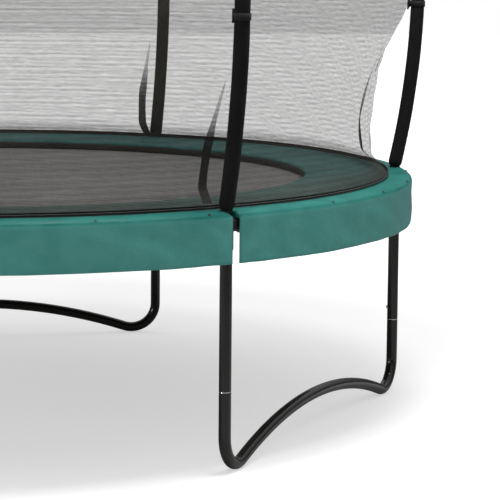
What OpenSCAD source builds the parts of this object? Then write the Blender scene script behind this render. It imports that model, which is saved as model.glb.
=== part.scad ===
// Backyard trampoline with an enclosure net: six curved poles, three W-shaped leg tubes.
// Azimuth 0 points along -Y and grows towards +X. Units are millimetres, +Z is up.

/* [Frame] */
// Radius of the rail's centre line
ring_r = 1500; // [1300:10:1700]
// Height of the rail's centre line
rail_z = 765; // [700:5:850]
// Outside diameter of the rail and leg tubes
tube_d = 38; // [32:1:42]
// Wall thickness of the rail and leg tubes
tube_wall = 1.5; // [1:0.25:2.5]
// Wall thickness of the cast tee joints
tee_wall = 3; // [2:0.5:5]
// Half length of a tee's rail sleeve, as an angle of the ring
tee_half_angle = 2.4; // [1.5:0.1:4]

/* [Legs] */
// Height of the slip joint between upper leg and leg base
leg_joint_z = 256; // [180:2:320]
// Centre-line radius of the bend at the foot of a leg
leg_bend_r = 98; // [80:2:120]
// Slope at which the arch leaves the floor, in degrees
arch_tilt = 18; // [12:1:22]
// Length of the reduced spigot that enters the upper leg
spigot_l = 75; // [40:5:110]

/* [Enclosure poles] */
// Outside diameter of a pole tube
pole_d = 25.4; // [22:0.1:28]
// Outside diameter of the foam sleeve
sleeve_d = 48; // [40:1:56]
// Radius from the centre to the outermost point of a pole's centre line
pole_peak_r = 1573; // [1540:1:1620]
// Height of that outermost point
pole_peak_z = 1480; // [1300:10:1600]
// Bending radius of a pole
pole_bend_r = 3000; // [2600:50:4000]
// Height of a pole's top end
pole_top_z = 2480; // [2300:10:2550]
// Height of the joint between lower and upper pole tube
pole_joint_z = 1650; // [1500:10:1800]

/* [Mat and springs] */
// Radius of the jumping mat
mat_r = 1275; // [1200:5:1290]
// Thickness of the woven mat
mat_t = 2.5; // [1.5:0.5:4]
// Number of springs, and of V-rings
spring_n = 60; // [48:6:72]
// Outside diameter of a spring's coil
spring_d = 22; // [18:1:26]
// Length of a spring's coil
spring_l = 137; // [110:1:140]

/* [Safety pad] */
// Inner radius of the pad
pad_in_r = 1163; // [1100:5:1200]
// Outer radius of the skirt
pad_out_r = 1535; // [1532:1:1560]
// Height of the pad's top
pad_top_z = 806.5; // [805:0.5:815]
// Thickness of the pad
pad_t = 18.5; // [14:0.5:20]
// Height of the skirt's lower edge
skirt_z = 650; // [600:5:700]
// Thickness of the skirt
skirt_t = 5; // [2:0.5:6]
// Width of the slit that lets a pole through the skirt
slit_w = 30; // [20:1:40]
// Distance of the slit's middle from the pole's plane
slit_shift = 10; // [0:1:14]

/* [Net] */
// Radius of the net's hem on the pad
hem_r = 1451; // [1430:1:1460]
// Height of the hem band
hem_h = 14; // [8:1:20]
// Thickness of the net solid
net_t = 1.5; // [1:0.5:3]
// Height of the net's top edge
net_top_z = 2466; // [2300:2:2470]
// Height of the lowest pole straps
strap_z = 1387; // [1300:1:1450]

/* [Hidden] */
$fn = 48;

legs_n = 6;
step = 360 / legs_n;
first_az = 30;
tube_r = tube_d / 2;
slip = 0.2;
tee_r = tube_r + slip + tee_wall;
stub_z = rail_z - 76;
leg_top_z = rail_z - tube_r - 4;
leg_gap = 2;
spigot_r = tube_r - tube_wall - slip;

chord = 2 * ring_r * sin(step / 2);
bend_z = tube_r + leg_bend_r;
arch_r = (chord / 2 - leg_bend_r - leg_bend_r * sin(arch_tilt)) / sin(arch_tilt);
arch_z = bend_z - (leg_bend_r + arch_r) * cos(arch_tilt);

screw_d = 5;
screw_l = 9;
screw_head_d = 10;
screw_head_h = 4;
rail_screw_angle = 1.7;
stub_screw_z = stub_z + 22;
leg_screw_z = leg_joint_z + 45;

pole_wall = 1.5;
pole_spigot_l = 60;
socket_r = pole_d / 2 + slip + 2;
socket_low_z = rail_z + 8;
socket_top_z = 862;
pole_foot_z = rail_z + tee_r + 5;
sleeve_low_z = pad_top_z + 6;
sleeve_bore_r = socket_r + 0.4;

band_in_r = mat_r - 37;
band_out_r = mat_r + 3;
band_t = 3.6;
spring_z = rail_z + 1;
mat_z = spring_z + band_t / 2 + 0.4;
ring_wire = 4;
ring_in_r = mat_r - 7;
ring_tip_r = mat_r + 28;
ring_half_w = 22;
hook_d = 4;
spring_wall = 2.6;
spring_in_r = mat_r + 50;

crown_r = 22;
hole_r = socket_r + 6;
hole_at_r = 1496;

net_low_z = pad_top_z + 0.8 + hem_h;
strap_zs = [strap_z, 1928, 2440];
net_cols = 10;
zip_low_z = 900;
zip_high_z = 2300;
slider_z = zip_low_z + 34;
zip_lean = atan(0.085);

// Azimuth of leg, pole or rail i, counted from 1
function az(i) = first_az + (i - 1) * step;
// Radius of a pole's centre line at height z
function pole_r(z) =
    pole_peak_r - pole_bend_r + sqrt(pow(pole_bend_r, 2) - pow(z - pole_peak_z, 2));
// Angle of a pole's arc at height z
function pole_angle(z) = asin((z - pole_peak_z) / pole_bend_r);
// Share of the way from a to b, kept between 0 and 1
function share(z, a, b) = min(1, max(0, (z - a) / (b - a)));
// Distance of the net from a pole's centre line, where it hangs free between two straps
function bow(z, a, b, depth) = depth * sin(180 * share(z, a, b));
function net_gap(z) =
    z < strap_zs[0]
    ? 46 - 11 * share(z, pad_top_z, strap_zs[0])
        + 86 * pow(sin(180 * pow(share(z, pad_top_z, strap_zs[0]), 0.85)), 0.8)
    : 35 + bow(z, strap_zs[0], strap_zs[1], 45) + bow(z, strap_zs[1], strap_zs[2], 45);
// Radius of the net midway between two poles: a straight line that leans inwards
function net_mid_r(z) =
    hem_r - 23 * share(z, net_low_z, 870) - tan(zip_lean) * max(0, z - 870);
// Radius of the net; u is 0 midway between two poles and +-1 at them
function net_r(u, z) =
    u * u * (pole_r(z) - net_gap(z)) + (1 - u * u) * net_mid_r(z);
function polar(r, a, z) = [r * sin(a), -r * cos(a), z];

module at_azimuth(a) rotate([0, 0, a - 90]) children();

// Ring section of a tube
module tube_section(r, wall) {
    difference() {
        circle(r = r);
        circle(r = r - wall);
    }
}

// Arc that lies flat around the Z axis, from azimuth a0 over the angle turn
module flat_arc(r, a0, turn, z) {
    translate([0, 0, z]) rotate_extrude(angle = turn, start = a0 - 90, $fn = 180)
        translate([r, 0]) children();
}

// Moves by the whole number and then by the rest, so that long arcs meet to a micrometre
module shift_x(x) translate([floor(x), 0, 0]) translate([x - floor(x), 0, 0]) children();
module shift_z(z) translate([0, 0, floor(z)]) translate([0, 0, z - floor(z)]) children();

// Arc that stands in the XZ plane around the point [x, z]
module standing_arc(x, z, r, from, turn) {
    shift_x(x) shift_z(z) rotate([90, 0, 0])
        rotate_extrude(angle = turn, start = from, $fn = 180) shift_x(r) children();
}

// Piece of a pole between two heights, for the section given as child
module pole_arc(low, high) {
    standing_arc(pole_peak_r - pole_bend_r, pole_peak_z, pole_bend_r,
        pole_angle(low), pole_angle(high) - pole_angle(low)) children();
}

// Place on a pole's centre line at height z, with Z along the pole and X outwards
module on_pole(z) {
    translate([pole_r(z), 0, z]) rotate([0, -pole_angle(z), 0]) children();
}

// Closed sheet through rows of points: outside and inside are [row][column] lists
module sheet(outside, inside) {
    rows = len(outside) - 1;
    cols = len(outside[0]) - 1;
    width = cols + 1;
    back = (rows + 1) * width;
    points = concat([for (row = outside) each row], [for (row = inside) each row]);
    faces = concat(
        [for (j = [0:rows - 1]) for (i = [0:cols - 1])
            [j * width + i, (j + 1) * width + i, (j + 1) * width + i + 1, j * width + i + 1]],
        [for (j = [0:rows - 1]) for (i = [0:cols - 1])
            [back + j * width + i, back + j * width + i + 1,
             back + (j + 1) * width + i + 1, back + (j + 1) * width + i]],
        [for (i = [0:cols - 1]) [i, i + 1, back + i + 1, back + i]],
        [for (i = [0:cols - 1])
            [rows * width + i + 1, rows * width + i,
             back + rows * width + i, back + rows * width + i + 1]],
        [for (j = [0:rows - 1])
            [(j + 1) * width, j * width, back + j * width, back + (j + 1) * width]],
        [for (j = [0:rows - 1])
            [j * width + cols, (j + 1) * width + cols,
             back + (j + 1) * width + cols, back + j * width + cols]]);
    polyhedron(points = points, faces = faces, convexity = 4);
}

// Self-drilling screw whose head sits on the surface at the origin, shank along +Z
module screw() {
    cylinder(d = screw_d, h = screw_l);
    translate([0, 0, -screw_head_h]) cylinder(d = screw_head_d, h = screw_head_h, $fn = 6);
}

module screw_hole() translate([0, 0, -1]) cylinder(d = screw_d + 0.4, h = screw_l + 3);

// Places of the screws of leg i: children(0) is put at each
module at_rail_screws(i) {
    for (side = [-1, 1])
        at_azimuth(az(i) + side * rail_screw_angle)
            translate([ring_r, 0, rail_z - tee_r - 0.1]) children();
}

module at_leg_screw(i, z, r) {
    at_azimuth(az(i)) translate([ring_r - r - 0.1, 0, z]) rotate([0, 90, 0]) children();
}

module top_rail(i) {
    color("#23211f") difference() {
        flat_arc(ring_r, az(i) + 0.04, step - 0.08, rail_z) tube_section(tube_r, tube_wall);
        at_rail_screws(i) screw_hole();
        at_rail_screws(i + 1) screw_hole();
    }
}

module tee_joint(i) {
    color("#191817") difference() {
        union() {
            flat_arc(ring_r, az(i) - tee_half_angle, 2 * tee_half_angle, rail_z)
                circle(r = tee_r);
            at_azimuth(az(i)) translate([ring_r, 0, stub_z])
                cylinder(r = tee_r, h = rail_z - stub_z);
            at_azimuth(az(i)) pole_arc(socket_low_z, socket_top_z) circle(r = socket_r);
        }
        flat_arc(ring_r, az(i) - tee_half_angle - 1, 2 * tee_half_angle + 2, rail_z)
            circle(r = tube_r + slip);
        at_azimuth(az(i)) translate([ring_r, 0, stub_z - 1])
            cylinder(r = tube_r + slip, h = leg_top_z + 1 - stub_z + 1);
        at_azimuth(az(i)) pole_arc(pole_foot_z - 1, socket_top_z + 10)
            circle(r = pole_d / 2 + slip);
        at_rail_screws(i) screw_hole();
        at_leg_screw(i, stub_screw_z, tee_r) screw_hole();
    }
}

module leg_upper(i) {
    low = leg_joint_z + leg_gap;
    color("#23211f") difference() {
        at_azimuth(az(i)) translate([ring_r, 0, low]) linear_extrude(leg_top_z - low)
            tube_section(tube_r, tube_wall);
        at_leg_screw(i, stub_screw_z, tee_r) screw_hole();
        at_leg_screw(i, leg_screw_z, tube_r) screw_hole();
    }
}

// Half section of a straight end that narrows to the spigot
swaged_end = [
    [tube_r - tube_wall, bend_z], [tube_r, bend_z],
    [tube_r, leg_joint_z - 2], [tube_r - 0.6, leg_joint_z], [spigot_r, leg_joint_z],
    [spigot_r, leg_joint_z + spigot_l], [spigot_r - tube_wall, leg_joint_z + spigot_l],
    [spigot_r - tube_wall, leg_joint_z - 3], [tube_r - tube_wall, leg_joint_z - 5]
];

// One bent tube under legs i and i + 1: a foot bend at each end and a low arch between
module leg_base(k) {
    i = 2 * k - 1;
    color("#23211f") difference() {
        translate(polar(ring_r, az(i), 0)) rotate([0, 0, az(i) + step / 2]) {
            for (x = [0, chord]) translate([x, 0, 0]) rotate_extrude() polygon(swaged_end);
            standing_arc(leg_bend_r, bend_z, leg_bend_r, 180, 90 + arch_tilt)
                tube_section(tube_r, tube_wall);
            standing_arc(chord - leg_bend_r, bend_z, leg_bend_r, 270 - arch_tilt, 90 + arch_tilt)
                tube_section(tube_r, tube_wall);
            standing_arc(chord / 2, arch_z, arch_r, 90 - arch_tilt, 2 * arch_tilt)
                tube_section(tube_r, tube_wall);
        }
        at_leg_screw(i, leg_screw_z, tube_r) screw_hole();
        at_leg_screw(i + 1, leg_screw_z, tube_r) screw_hole();
    }
}

module frame_screws() {
    color("#b9babb") for (i = [1:legs_n]) {
        at_rail_screws(i) screw();
        at_leg_screw(i, stub_screw_z, tee_r) screw();
        at_leg_screw(i, leg_screw_z, tube_r) screw();
    }
}

module pole_lower(i) {
    color("#1f1e1d") at_azimuth(az(i)) {
        pole_arc(pole_foot_z, pole_joint_z) tube_section(pole_d / 2, pole_wall);
        pole_arc(pole_joint_z - 4, pole_joint_z + pole_spigot_l)
            tube_section(pole_d / 2 - pole_wall - slip, pole_wall);
    }
}

module pole_upper(i) {
    color("#1f1e1d") at_azimuth(az(i))
        pole_arc(pole_joint_z + 0.5, pole_top_z) tube_section(pole_d / 2, pole_wall);
}

module pole_sleeve(i) {
    color("#171717") at_azimuth(az(i)) pole_arc(sleeve_low_z, pole_top_z)
        tube_section(sleeve_d / 2, sleeve_d / 2 - sleeve_bore_r);
}

// Plastic cap: a short skirt round the sleeve's end and a low dome
module pole_caps() {
    cap_r = sleeve_d / 2 + 2;
    color("#141414") for (i = [1:legs_n])
        at_azimuth(az(i)) on_pole(pole_top_z) difference() {
            union() {
                translate([0, 0, -14]) cylinder(r = cap_r, h = 20);
                translate([0, 0, 6]) rotate_extrude() intersection() {
                    translate([0, -34]) circle(r = sqrt(34 * 34 + cap_r * cap_r), $fn = 120);
                    square([cap_r, 20]);
                }
            }
            translate([0, 0, -15]) cylinder(r = sleeve_d / 2 + 0.4, h = 15.6);
        }
}

module mat() color("#4b4a48") translate([0, 0, mat_z]) cylinder(r = mat_r, h = mat_t, $fn = 180);

// Webbing sewn round the mat's edge, which holds the V-rings
module mat_band() {
    color("#1b1b1b") translate([0, 0, spring_z - band_t / 2]) difference() {
        cylinder(r = band_out_r, h = band_t, $fn = 180);
        translate([0, 0, -1]) cylinder(r = band_in_r, h = band_t + 2, $fn = 180);
    }
}

// V-ring as a flat triangle: its base lies in the webbing, its tip takes a spring's hook
module v_rings() {
    inner = 0.62;
    middle = ring_in_r + (ring_tip_r - ring_in_r) / 3;
    outline = [[ring_in_r, -ring_half_w], [ring_tip_r, -3], [ring_tip_r, 3],
               [ring_in_r, ring_half_w]];
    color("#a9abac") for (k = [0:spring_n - 1])
        at_azimuth((k + 0.5) * 360 / spring_n) translate([0, 0, spring_z - ring_wire / 2])
            linear_extrude(ring_wire) difference() {
                polygon(outline);
                polygon([for (p = outline)
                    [middle + (p[0] - middle) * inner, p[1] * inner]]);
            }
}

// Tension spring as a thick tube with a straight hook at each end
module springs() {
    color("#9fa2a4") for (k = [0:spring_n - 1])
        at_azimuth((k + 0.5) * 360 / spring_n) translate([0, 0, spring_z])
            rotate([0, 90, 0]) difference() {
                union() {
                    translate([0, 0, spring_in_r]) cylinder(d = spring_d, h = spring_l);
                    translate([0, 0, ring_tip_r + 0.5])
                        cylinder(d = hook_d, h = ring_r - tube_r - ring_tip_r - 0.9);
                }
                translate([0, 0, spring_in_r + 2])
                    cylinder(r = spring_d / 2 - spring_wall, h = spring_l - 4);
            }
}

// Pad over the springs, with a rolled crown and a skirt; a hole and a slit at each pole
module safety_pad() {
    low = pad_top_z - pad_t;
    color("#1f6f60") difference() {
        rotate_extrude($fn = 180) union() {
            translate([pad_in_r, low]) square([pad_out_r - crown_r - pad_in_r, pad_t]);
            intersection() {
                translate([pad_out_r - crown_r, pad_top_z - crown_r]) circle(r = crown_r);
                translate([pad_out_r - crown_r, low]) square([crown_r, pad_t]);
            }
            translate([pad_out_r - skirt_t, skirt_z])
                square([skirt_t, pad_top_z - crown_r - skirt_z]);
            translate([pad_out_r - skirt_t, pad_top_z - crown_r - 0.01])
                square([skirt_t - 0.6, crown_r - pad_t + 0.02]);
        }
        for (i = [1:legs_n]) at_azimuth(az(i)) {
            translate([hole_at_r, 0, low - 1]) cylinder(r = hole_r, h = pad_t + 2);
            translate([hole_at_r, slit_shift - slit_w / 2, skirt_z - 1])
                cube([pad_out_r - hole_at_r + 5, slit_w, pad_top_z - skirt_z + 2]);
        }
    }
}

// Points of the net's surface over panel i, offset outwards by d, at the given heights
function net_points(i, zs, d) =
    [for (z = zs) [for (c = [0:net_cols])
        let (u = -1 + 2 * c / net_cols)
        polar(net_r(u, z) + d, az(i) + step / 2 + u * (step / 2 - 0.02), z)]];

module net_panel(i) {
    zs = concat([net_low_z, 835, 870, 920], [for (z = [980:102:2408]) z], [net_top_z - 32]);
    color("#b9b7b2", 0.5) sheet(net_points(i, zs, net_t / 2), net_points(i, zs, -net_t / 2));
}

module net_top_band() {
    zs = [net_top_z - 31, net_top_z];
    color("#181818") for (i = [1:legs_n]) sheet(net_points(i, zs, 2), net_points(i, zs, -2));
}

// Black band that joins the net to the pad
module net_hem() {
    color("#181818") translate([0, 0, pad_top_z + 0.4]) difference() {
        cylinder(r = hem_r + 1.5, h = hem_h, $fn = 180);
        translate([0, 0, -1]) cylinder(r = hem_r - 1.5, h = hem_h + 2, $fn = 180);
    }
}

// Doubled strip of net inside each pole, which takes up the slack: full width, then a taper
module net_darts() {
    full_w = 38;
    full_z = 1000;
    tip_z = 1190;
    tip_w = 4;
    zs = [826, 850, 890, 940, full_z, 1060, 1125, tip_z];
    color("#3d3c3a") for (i = [1:legs_n]) at_azimuth(az(i)) {
        rows = [for (z = zs) let (
            half = (full_w - (full_w - tip_w) * share(z, full_z, tip_z)) / 2,
            r = net_r(1, z) - net_t / 2 - 2.6) [r, half, z]];
        sheet([for (p = rows) [[p[0], -p[1], p[2]], [p[0], p[1], p[2]]]],
              [for (p = rows) [[p[0] - 2, -p[1], p[2]], [p[0] - 2, p[1], p[2]]]]);
    }
}

// Webbing loop round each pole's sleeve, and the tab that joins it to the net
module net_straps() {
    loop_r = sleeve_d / 2 + 0.4;
    color("#161616") for (i = [1:legs_n]) for (z = strap_zs)
        at_azimuth(az(i)) on_pole(z) {
            difference() {
                translate([0, 0, -10.5]) cylinder(r = loop_r + 1.4, h = 21);
                translate([0, 0, -12]) cylinder(r = loop_r, h = 24);
            }
            reach = 35 * cos(pole_angle(z)) - (z > net_top_z - 40 ? 2 : net_t / 2) - 0.6;
            translate([-reach, -1, -18]) cube([reach - loop_r - 0.6, 2, 36]);
        }
}

// Place on the straight line of the entrance's zip: Y inwards, Z up along the line
module on_zip(z) {
    translate([0, -net_mid_r(z), z]) rotate([-zip_lean, 0, 0]) children();
}

module zip_tape() {
    length = (zip_high_z - zip_low_z) / cos(zip_lean);
    color("#141414") on_zip(zip_low_z) {
        translate([-15, -net_t / 2 - 2, 0]) cube([30, 1.4, length]);
        translate([-3, -net_t / 2 - 3.4, 8]) cube([6, 1.5, length - 16]);
    }
}

// Place on the pull tab's hinge: X along its pin, Z up
module on_pin() {
    translate([0, -net_mid_r(slider_z) - net_t / 2 - 14.5, slider_z + 2]) children();
}

// Slider body with a slot for the tape and two ears that hold the pull tab's pin
module zip_slider() {
    color("#8f9193") difference() {
        union() {
            on_zip(slider_z) difference() {
                translate([-6, -net_t / 2 - 12, -9]) cube([12, 8.2, 18]);
                translate([-7, -net_t / 2 - 9.6, -4]) cube([14, 3.4, 8]);
            }
            on_pin() for (x = [-5.6, 4]) translate([x, 0, 0]) {
                rotate([0, 90, 0]) cylinder(d = 4.4, h = 1.6);
                translate([0, 0, -2.2]) cube([1.6, 3.4, 4.4]);
            }
        }
        on_pin() translate([-7, 0, 0]) rotate([0, 90, 0]) cylinder(d = 1.9, h = 14);
    }
}

// Tab that hangs from a pin between the slider's ears
module zip_pull() {
    color("#8f9193") on_pin() difference() {
        union() {
            translate([-5.5, 0, 0]) rotate([0, 90, 0]) cylinder(d = 1.5, h = 11);
            translate([-3.6, 0, 0]) rotate([0, 90, 0]) cylinder(d = 3.2, h = 7.2);
            translate([-3.2, -1, -6]) cube([6.4, 2, 6]);
            translate([-5, -1, -40]) cube([10, 2, 35.5]);
        }
        translate([0, 2, -34]) rotate([90, 0, 0]) cylinder(d = 4, h = 4);
    }
}

top_rail(1);  // top_rail_1
top_rail(2);  // top_rail_2
top_rail(3);  // top_rail_3
top_rail(4);  // top_rail_4
top_rail(5);  // top_rail_5
top_rail(6);  // top_rail_6
tee_joint(1);  // tee_joint_1
tee_joint(2);  // tee_joint_2
tee_joint(3);  // tee_joint_3
tee_joint(4);  // tee_joint_4
tee_joint(5);  // tee_joint_5
tee_joint(6);  // tee_joint_6
leg_upper(1);  // leg_upper_1
leg_upper(2);  // leg_upper_2
leg_upper(3);  // leg_upper_3
leg_upper(4);  // leg_upper_4
leg_upper(5);  // leg_upper_5
leg_upper(6);  // leg_upper_6
leg_base(1);  // leg_base_1
leg_base(2);  // leg_base_2
leg_base(3);  // leg_base_3
frame_screws();
pole_lower(1);  // pole_lower_1
pole_lower(2);  // pole_lower_2
pole_lower(3);  // pole_lower_3
pole_lower(4);  // pole_lower_4
pole_lower(5);  // pole_lower_5
pole_lower(6);  // pole_lower_6
pole_upper(1);  // pole_upper_1
pole_upper(2);  // pole_upper_2
pole_upper(3);  // pole_upper_3
pole_upper(4);  // pole_upper_4
pole_upper(5);  // pole_upper_5
pole_upper(6);  // pole_upper_6
pole_sleeve(1);  // pole_sleeve_1
pole_sleeve(2);  // pole_sleeve_2
pole_sleeve(3);  // pole_sleeve_3
pole_sleeve(4);  // pole_sleeve_4
pole_sleeve(5);  // pole_sleeve_5
pole_sleeve(6);  // pole_sleeve_6
pole_caps();
mat();
mat_band();
v_rings();
springs();
safety_pad();
net_panel(1);  // net_panel_1
net_panel(2);  // net_panel_2
net_panel(3);  // net_panel_3
net_panel(4);  // net_panel_4
net_panel(5);  // net_panel_5
net_panel(6);  // net_panel_6
net_hem();
net_top_band();
net_darts();
net_straps();
zip_tape();
zip_slider();
zip_pull();
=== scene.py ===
"""The looks of a round backyard trampoline: six bent legs in three pairs, a sprung mat under a
padded edge, and a tall net held by curved, foam-covered poles. Metres, +Z up."""
import math

import bmesh
import bpy
import numpy as np
from mathutils import Matrix, Vector, noise


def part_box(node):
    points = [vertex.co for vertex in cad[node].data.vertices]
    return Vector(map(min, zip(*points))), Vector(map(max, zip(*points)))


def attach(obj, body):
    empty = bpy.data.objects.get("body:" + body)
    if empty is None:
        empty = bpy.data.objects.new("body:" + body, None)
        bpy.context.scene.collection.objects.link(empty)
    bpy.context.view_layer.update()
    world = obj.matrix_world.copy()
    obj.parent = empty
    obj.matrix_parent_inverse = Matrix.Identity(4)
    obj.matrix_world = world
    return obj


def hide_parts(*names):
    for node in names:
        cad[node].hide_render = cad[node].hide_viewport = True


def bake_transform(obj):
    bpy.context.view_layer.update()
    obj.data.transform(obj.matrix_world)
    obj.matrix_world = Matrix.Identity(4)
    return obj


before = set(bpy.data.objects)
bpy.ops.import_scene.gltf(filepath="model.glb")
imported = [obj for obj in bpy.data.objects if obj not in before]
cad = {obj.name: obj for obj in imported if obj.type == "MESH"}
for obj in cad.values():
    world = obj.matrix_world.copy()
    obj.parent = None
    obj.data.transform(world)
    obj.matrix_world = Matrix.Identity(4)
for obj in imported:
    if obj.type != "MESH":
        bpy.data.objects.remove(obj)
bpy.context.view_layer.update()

# ---------------------------------------------------------------------------------------------
# Camera. It stands 8 m off, a little left of the front and twice as high as the pad, with a
# long lens, and looks slightly down on the mat.
cam_data = bpy.data.cameras.new("camera")
cam_data.sensor_width = 36.0
cam_data.lens = 168.357
camera = bpy.data.objects.new("camera", cam_data)
bpy.context.scene.collection.objects.link(camera)
yaw, pitch, roll = math.radians(6.9982), math.radians(-7.7083), math.radians(0.5209)
camera.matrix_world = (
    Matrix.Translation((-0.0237, -8.1888, 1.6276))
    @ Matrix.Rotation(-yaw, 4, "Z")
    @ Matrix.Rotation(math.pi / 2 + pitch, 4, "X")
    @ Matrix.Rotation(roll, 4, "Z")
)
bpy.context.scene.camera = camera

# ---------------------------------------------------------------------------------------------
# Rails and legs: 38 mm steel tube under dark brown-black gloss enamel. The legs slip over the
# swaged ends of the W-shaped bases, and a bright zinc ring shows in the gap at each joint.


def add(tree, kind, links=None, **values):
    """A node of that kind, with its properties and socket values set, and its inputs linked."""
    made = tree.nodes.new(kind)
    for name, value in values.items():
        if hasattr(made, name) and name not in made.inputs:
            setattr(made, name, value)
        else:
            made.inputs[name.replace("_", " ")].default_value = value
    for name, source in (links or {}).items():
        tree.links.new(source, made.inputs[name])
    return made


def ramp(tree, value, low, high, to_low=0.0, to_high=1.0):
    """value mapped from low..high onto to_low..to_high, and clamped."""
    made = add(tree, "ShaderNodeMapRange", {"Value": value}, interpolation_type="SMOOTHSTEP")
    for name, number in zip(("From Min", "From Max", "To Min", "To Max"), (low, high, to_low, to_high)):
        made.inputs[name].default_value = number
    return made.outputs["Result"]


def math_node(tree, operation, a, b):
    """One sum on two values, each a socket or a number."""
    made = add(tree, "ShaderNodeMath", operation=operation)
    for socket, value in zip(made.inputs, (a, b)):
        if isinstance(value, (int, float)):
            socket.default_value = value
        else:
            tree.links.new(value, socket)
    return made.outputs[0]


def times(tree, a, b):
    return math_node(tree, "MULTIPLY", a, b)


def plus(tree, a, b):
    return math_node(tree, "ADD", a, b)


def mix_colour(tree, factor, a, b):
    """Colour a where factor is 0 and b where it is 1; each is a socket or three numbers."""
    made = add(tree, "ShaderNodeMix", data_type="RGBA")
    for name, value in (("Factor", factor), ("A", a), ("B", b)):
        socket = [s for s in made.inputs if s.name == name and s.enabled][0]
        if isinstance(value, (int, float)):
            socket.default_value = value
        elif isinstance(value, tuple):
            socket.default_value = (*value, 1.0)
        else:
            tree.links.new(value, socket)
    return [s for s in made.outputs if s.enabled][0]


def new_material(name, **values):
    """A material with a Principled shader, its constant values set on the shader's own sockets."""
    made = bpy.data.materials.new(name)
    made.use_nodes = True
    shader = made.node_tree.nodes["Principled BSDF"]
    for socket, value in values.items():
        shader.inputs[socket.replace("_", " ")].default_value = value
    return made, made.node_tree, shader


def shader_group(name, inputs, outputs):
    """An empty shader group with float inputs, given with their values, and named outputs."""
    group = bpy.data.node_groups.new(name, "ShaderNodeTree")
    for label, value in inputs.items():
        socket = group.interface.new_socket(label, in_out="INPUT", socket_type="NodeSocketFloat")
        socket.default_value = value
    for label in outputs:
        group.interface.new_socket(label, in_out="OUTPUT", socket_type="NodeSocketFloat")
    return group, group.nodes.new("NodeGroupInput"), group.nodes.new("NodeGroupOutput")


def use_group(tree, group, **values):
    made = tree.nodes.new("ShaderNodeGroup")
    made.node_tree = group
    for name, value in values.items():
        made.inputs[name.replace("_", " ")].default_value = value
    return made


def coat_with(piece, material):
    """Gives a piece one material in place of all that it has."""
    piece.data.materials.clear()
    piece.data.materials.append(material)


# Outdoor use leaves two marks on every hard piece: blotches of dulled gloss, and fine dust that
# settles on what faces up.
weathering, weather_in, weather_out = shader_group(
    "weathering", {"Blotch Scale": 9.0, "Dust": 0.3}, ["Blotches", "Dust Mask"])
weather_at = add(weathering, "ShaderNodeTexCoord")
blotches = add(weathering, "ShaderNodeTexNoise", {
    "Vector": weather_at.outputs["Object"], "Scale": weather_in.outputs["Blotch Scale"]}, Detail=5.0)
weathering.links.new(ramp(weathering, blotches.outputs["Fac"], 0.35, 0.68), weather_out.inputs["Blotches"])
facing = add(weathering, "ShaderNodeNewGeometry")
upward = add(weathering, "ShaderNodeSeparateXYZ", {"Vector": facing.outputs["Normal"]})
specks = add(weathering, "ShaderNodeTexNoise", {"Vector": weather_at.outputs["Object"]},
             Scale=240.0, Detail=2.0)
dust = times(weathering, ramp(weathering, upward.outputs["Z"], 0.35, 1.0),
                 ramp(weathering, specks.outputs["Fac"], 0.3, 0.7, 0.45, 1.0))
weathering.links.new(times(weathering, dust, weather_in.outputs["Dust"]),
                     weather_out.inputs["Dust Mask"])

ENAMEL = (0.0060, 0.0049, 0.0038)
ENAMEL_WORN = (0.010, 0.0084, 0.0070)
ZINC = (0.58, 0.58, 0.57)
DUST = (0.20, 0.185, 0.165)
JOINT_RING = (0.2553, 0.2582)


def enamel_material(name, ring):
    """Gloss enamel; with ring, the short stretch between two heights is bare zinc."""
    material, tree, shader = new_material(name, Coat_Roughness=0.07, Coat_Weight=0.25,
                                          Specular_IOR_Level=0.28)
    weather = use_group(tree, weathering, Blotch_Scale=7.0, Dust=0.10)
    place = add(tree, "ShaderNodeTexCoord")
    colour = mix_colour(tree, weather.outputs["Blotches"], ENAMEL, ENAMEL_WORN)
    colour = mix_colour(tree, weather.outputs["Dust Mask"], colour, DUST)
    rough = ramp(tree, weather.outputs["Blotches"], 0.0, 1.0, 0.13, 0.22)
    if ring:
        height = add(tree, "ShaderNodeSeparateXYZ", {"Vector": place.outputs["Object"]})
        above = math_node(tree, "GREATER_THAN", height.outputs["Z"], JOINT_RING[0])
        below = math_node(tree, "LESS_THAN", height.outputs["Z"], JOINT_RING[1])
        bare = times(tree, above, below)
        colour = mix_colour(tree, bare, colour, ZINC)
        tree.links.new(bare, shader.inputs["Metallic"])
    tree.links.new(colour, shader.inputs["Base Color"])
    tree.links.new(rough, shader.inputs["Roughness"])
    peel = add(tree, "ShaderNodeTexNoise", {"Vector": place.outputs["Object"]}, Scale=260.0, Detail=1.0)
    bump = add(tree, "ShaderNodeBump", {"Height": peel.outputs["Fac"]}, Strength=0.06, Distance=0.0006)
    tree.links.new(bump.outputs["Normal"], shader.inputs["Normal"])
    return material


tube_enamel = enamel_material("tube_enamel", ring=False)
base_enamel = enamel_material("leg_base_enamel", ring=True)
for number in range(1, 7):
    coat_with(cad[f"top_rail_{number}"], tube_enamel)
    coat_with(cad[f"leg_upper_{number}"], tube_enamel)
for number in range(1, 4):
    coat_with(cad[f"leg_base_{number}"], base_enamel)

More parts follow.
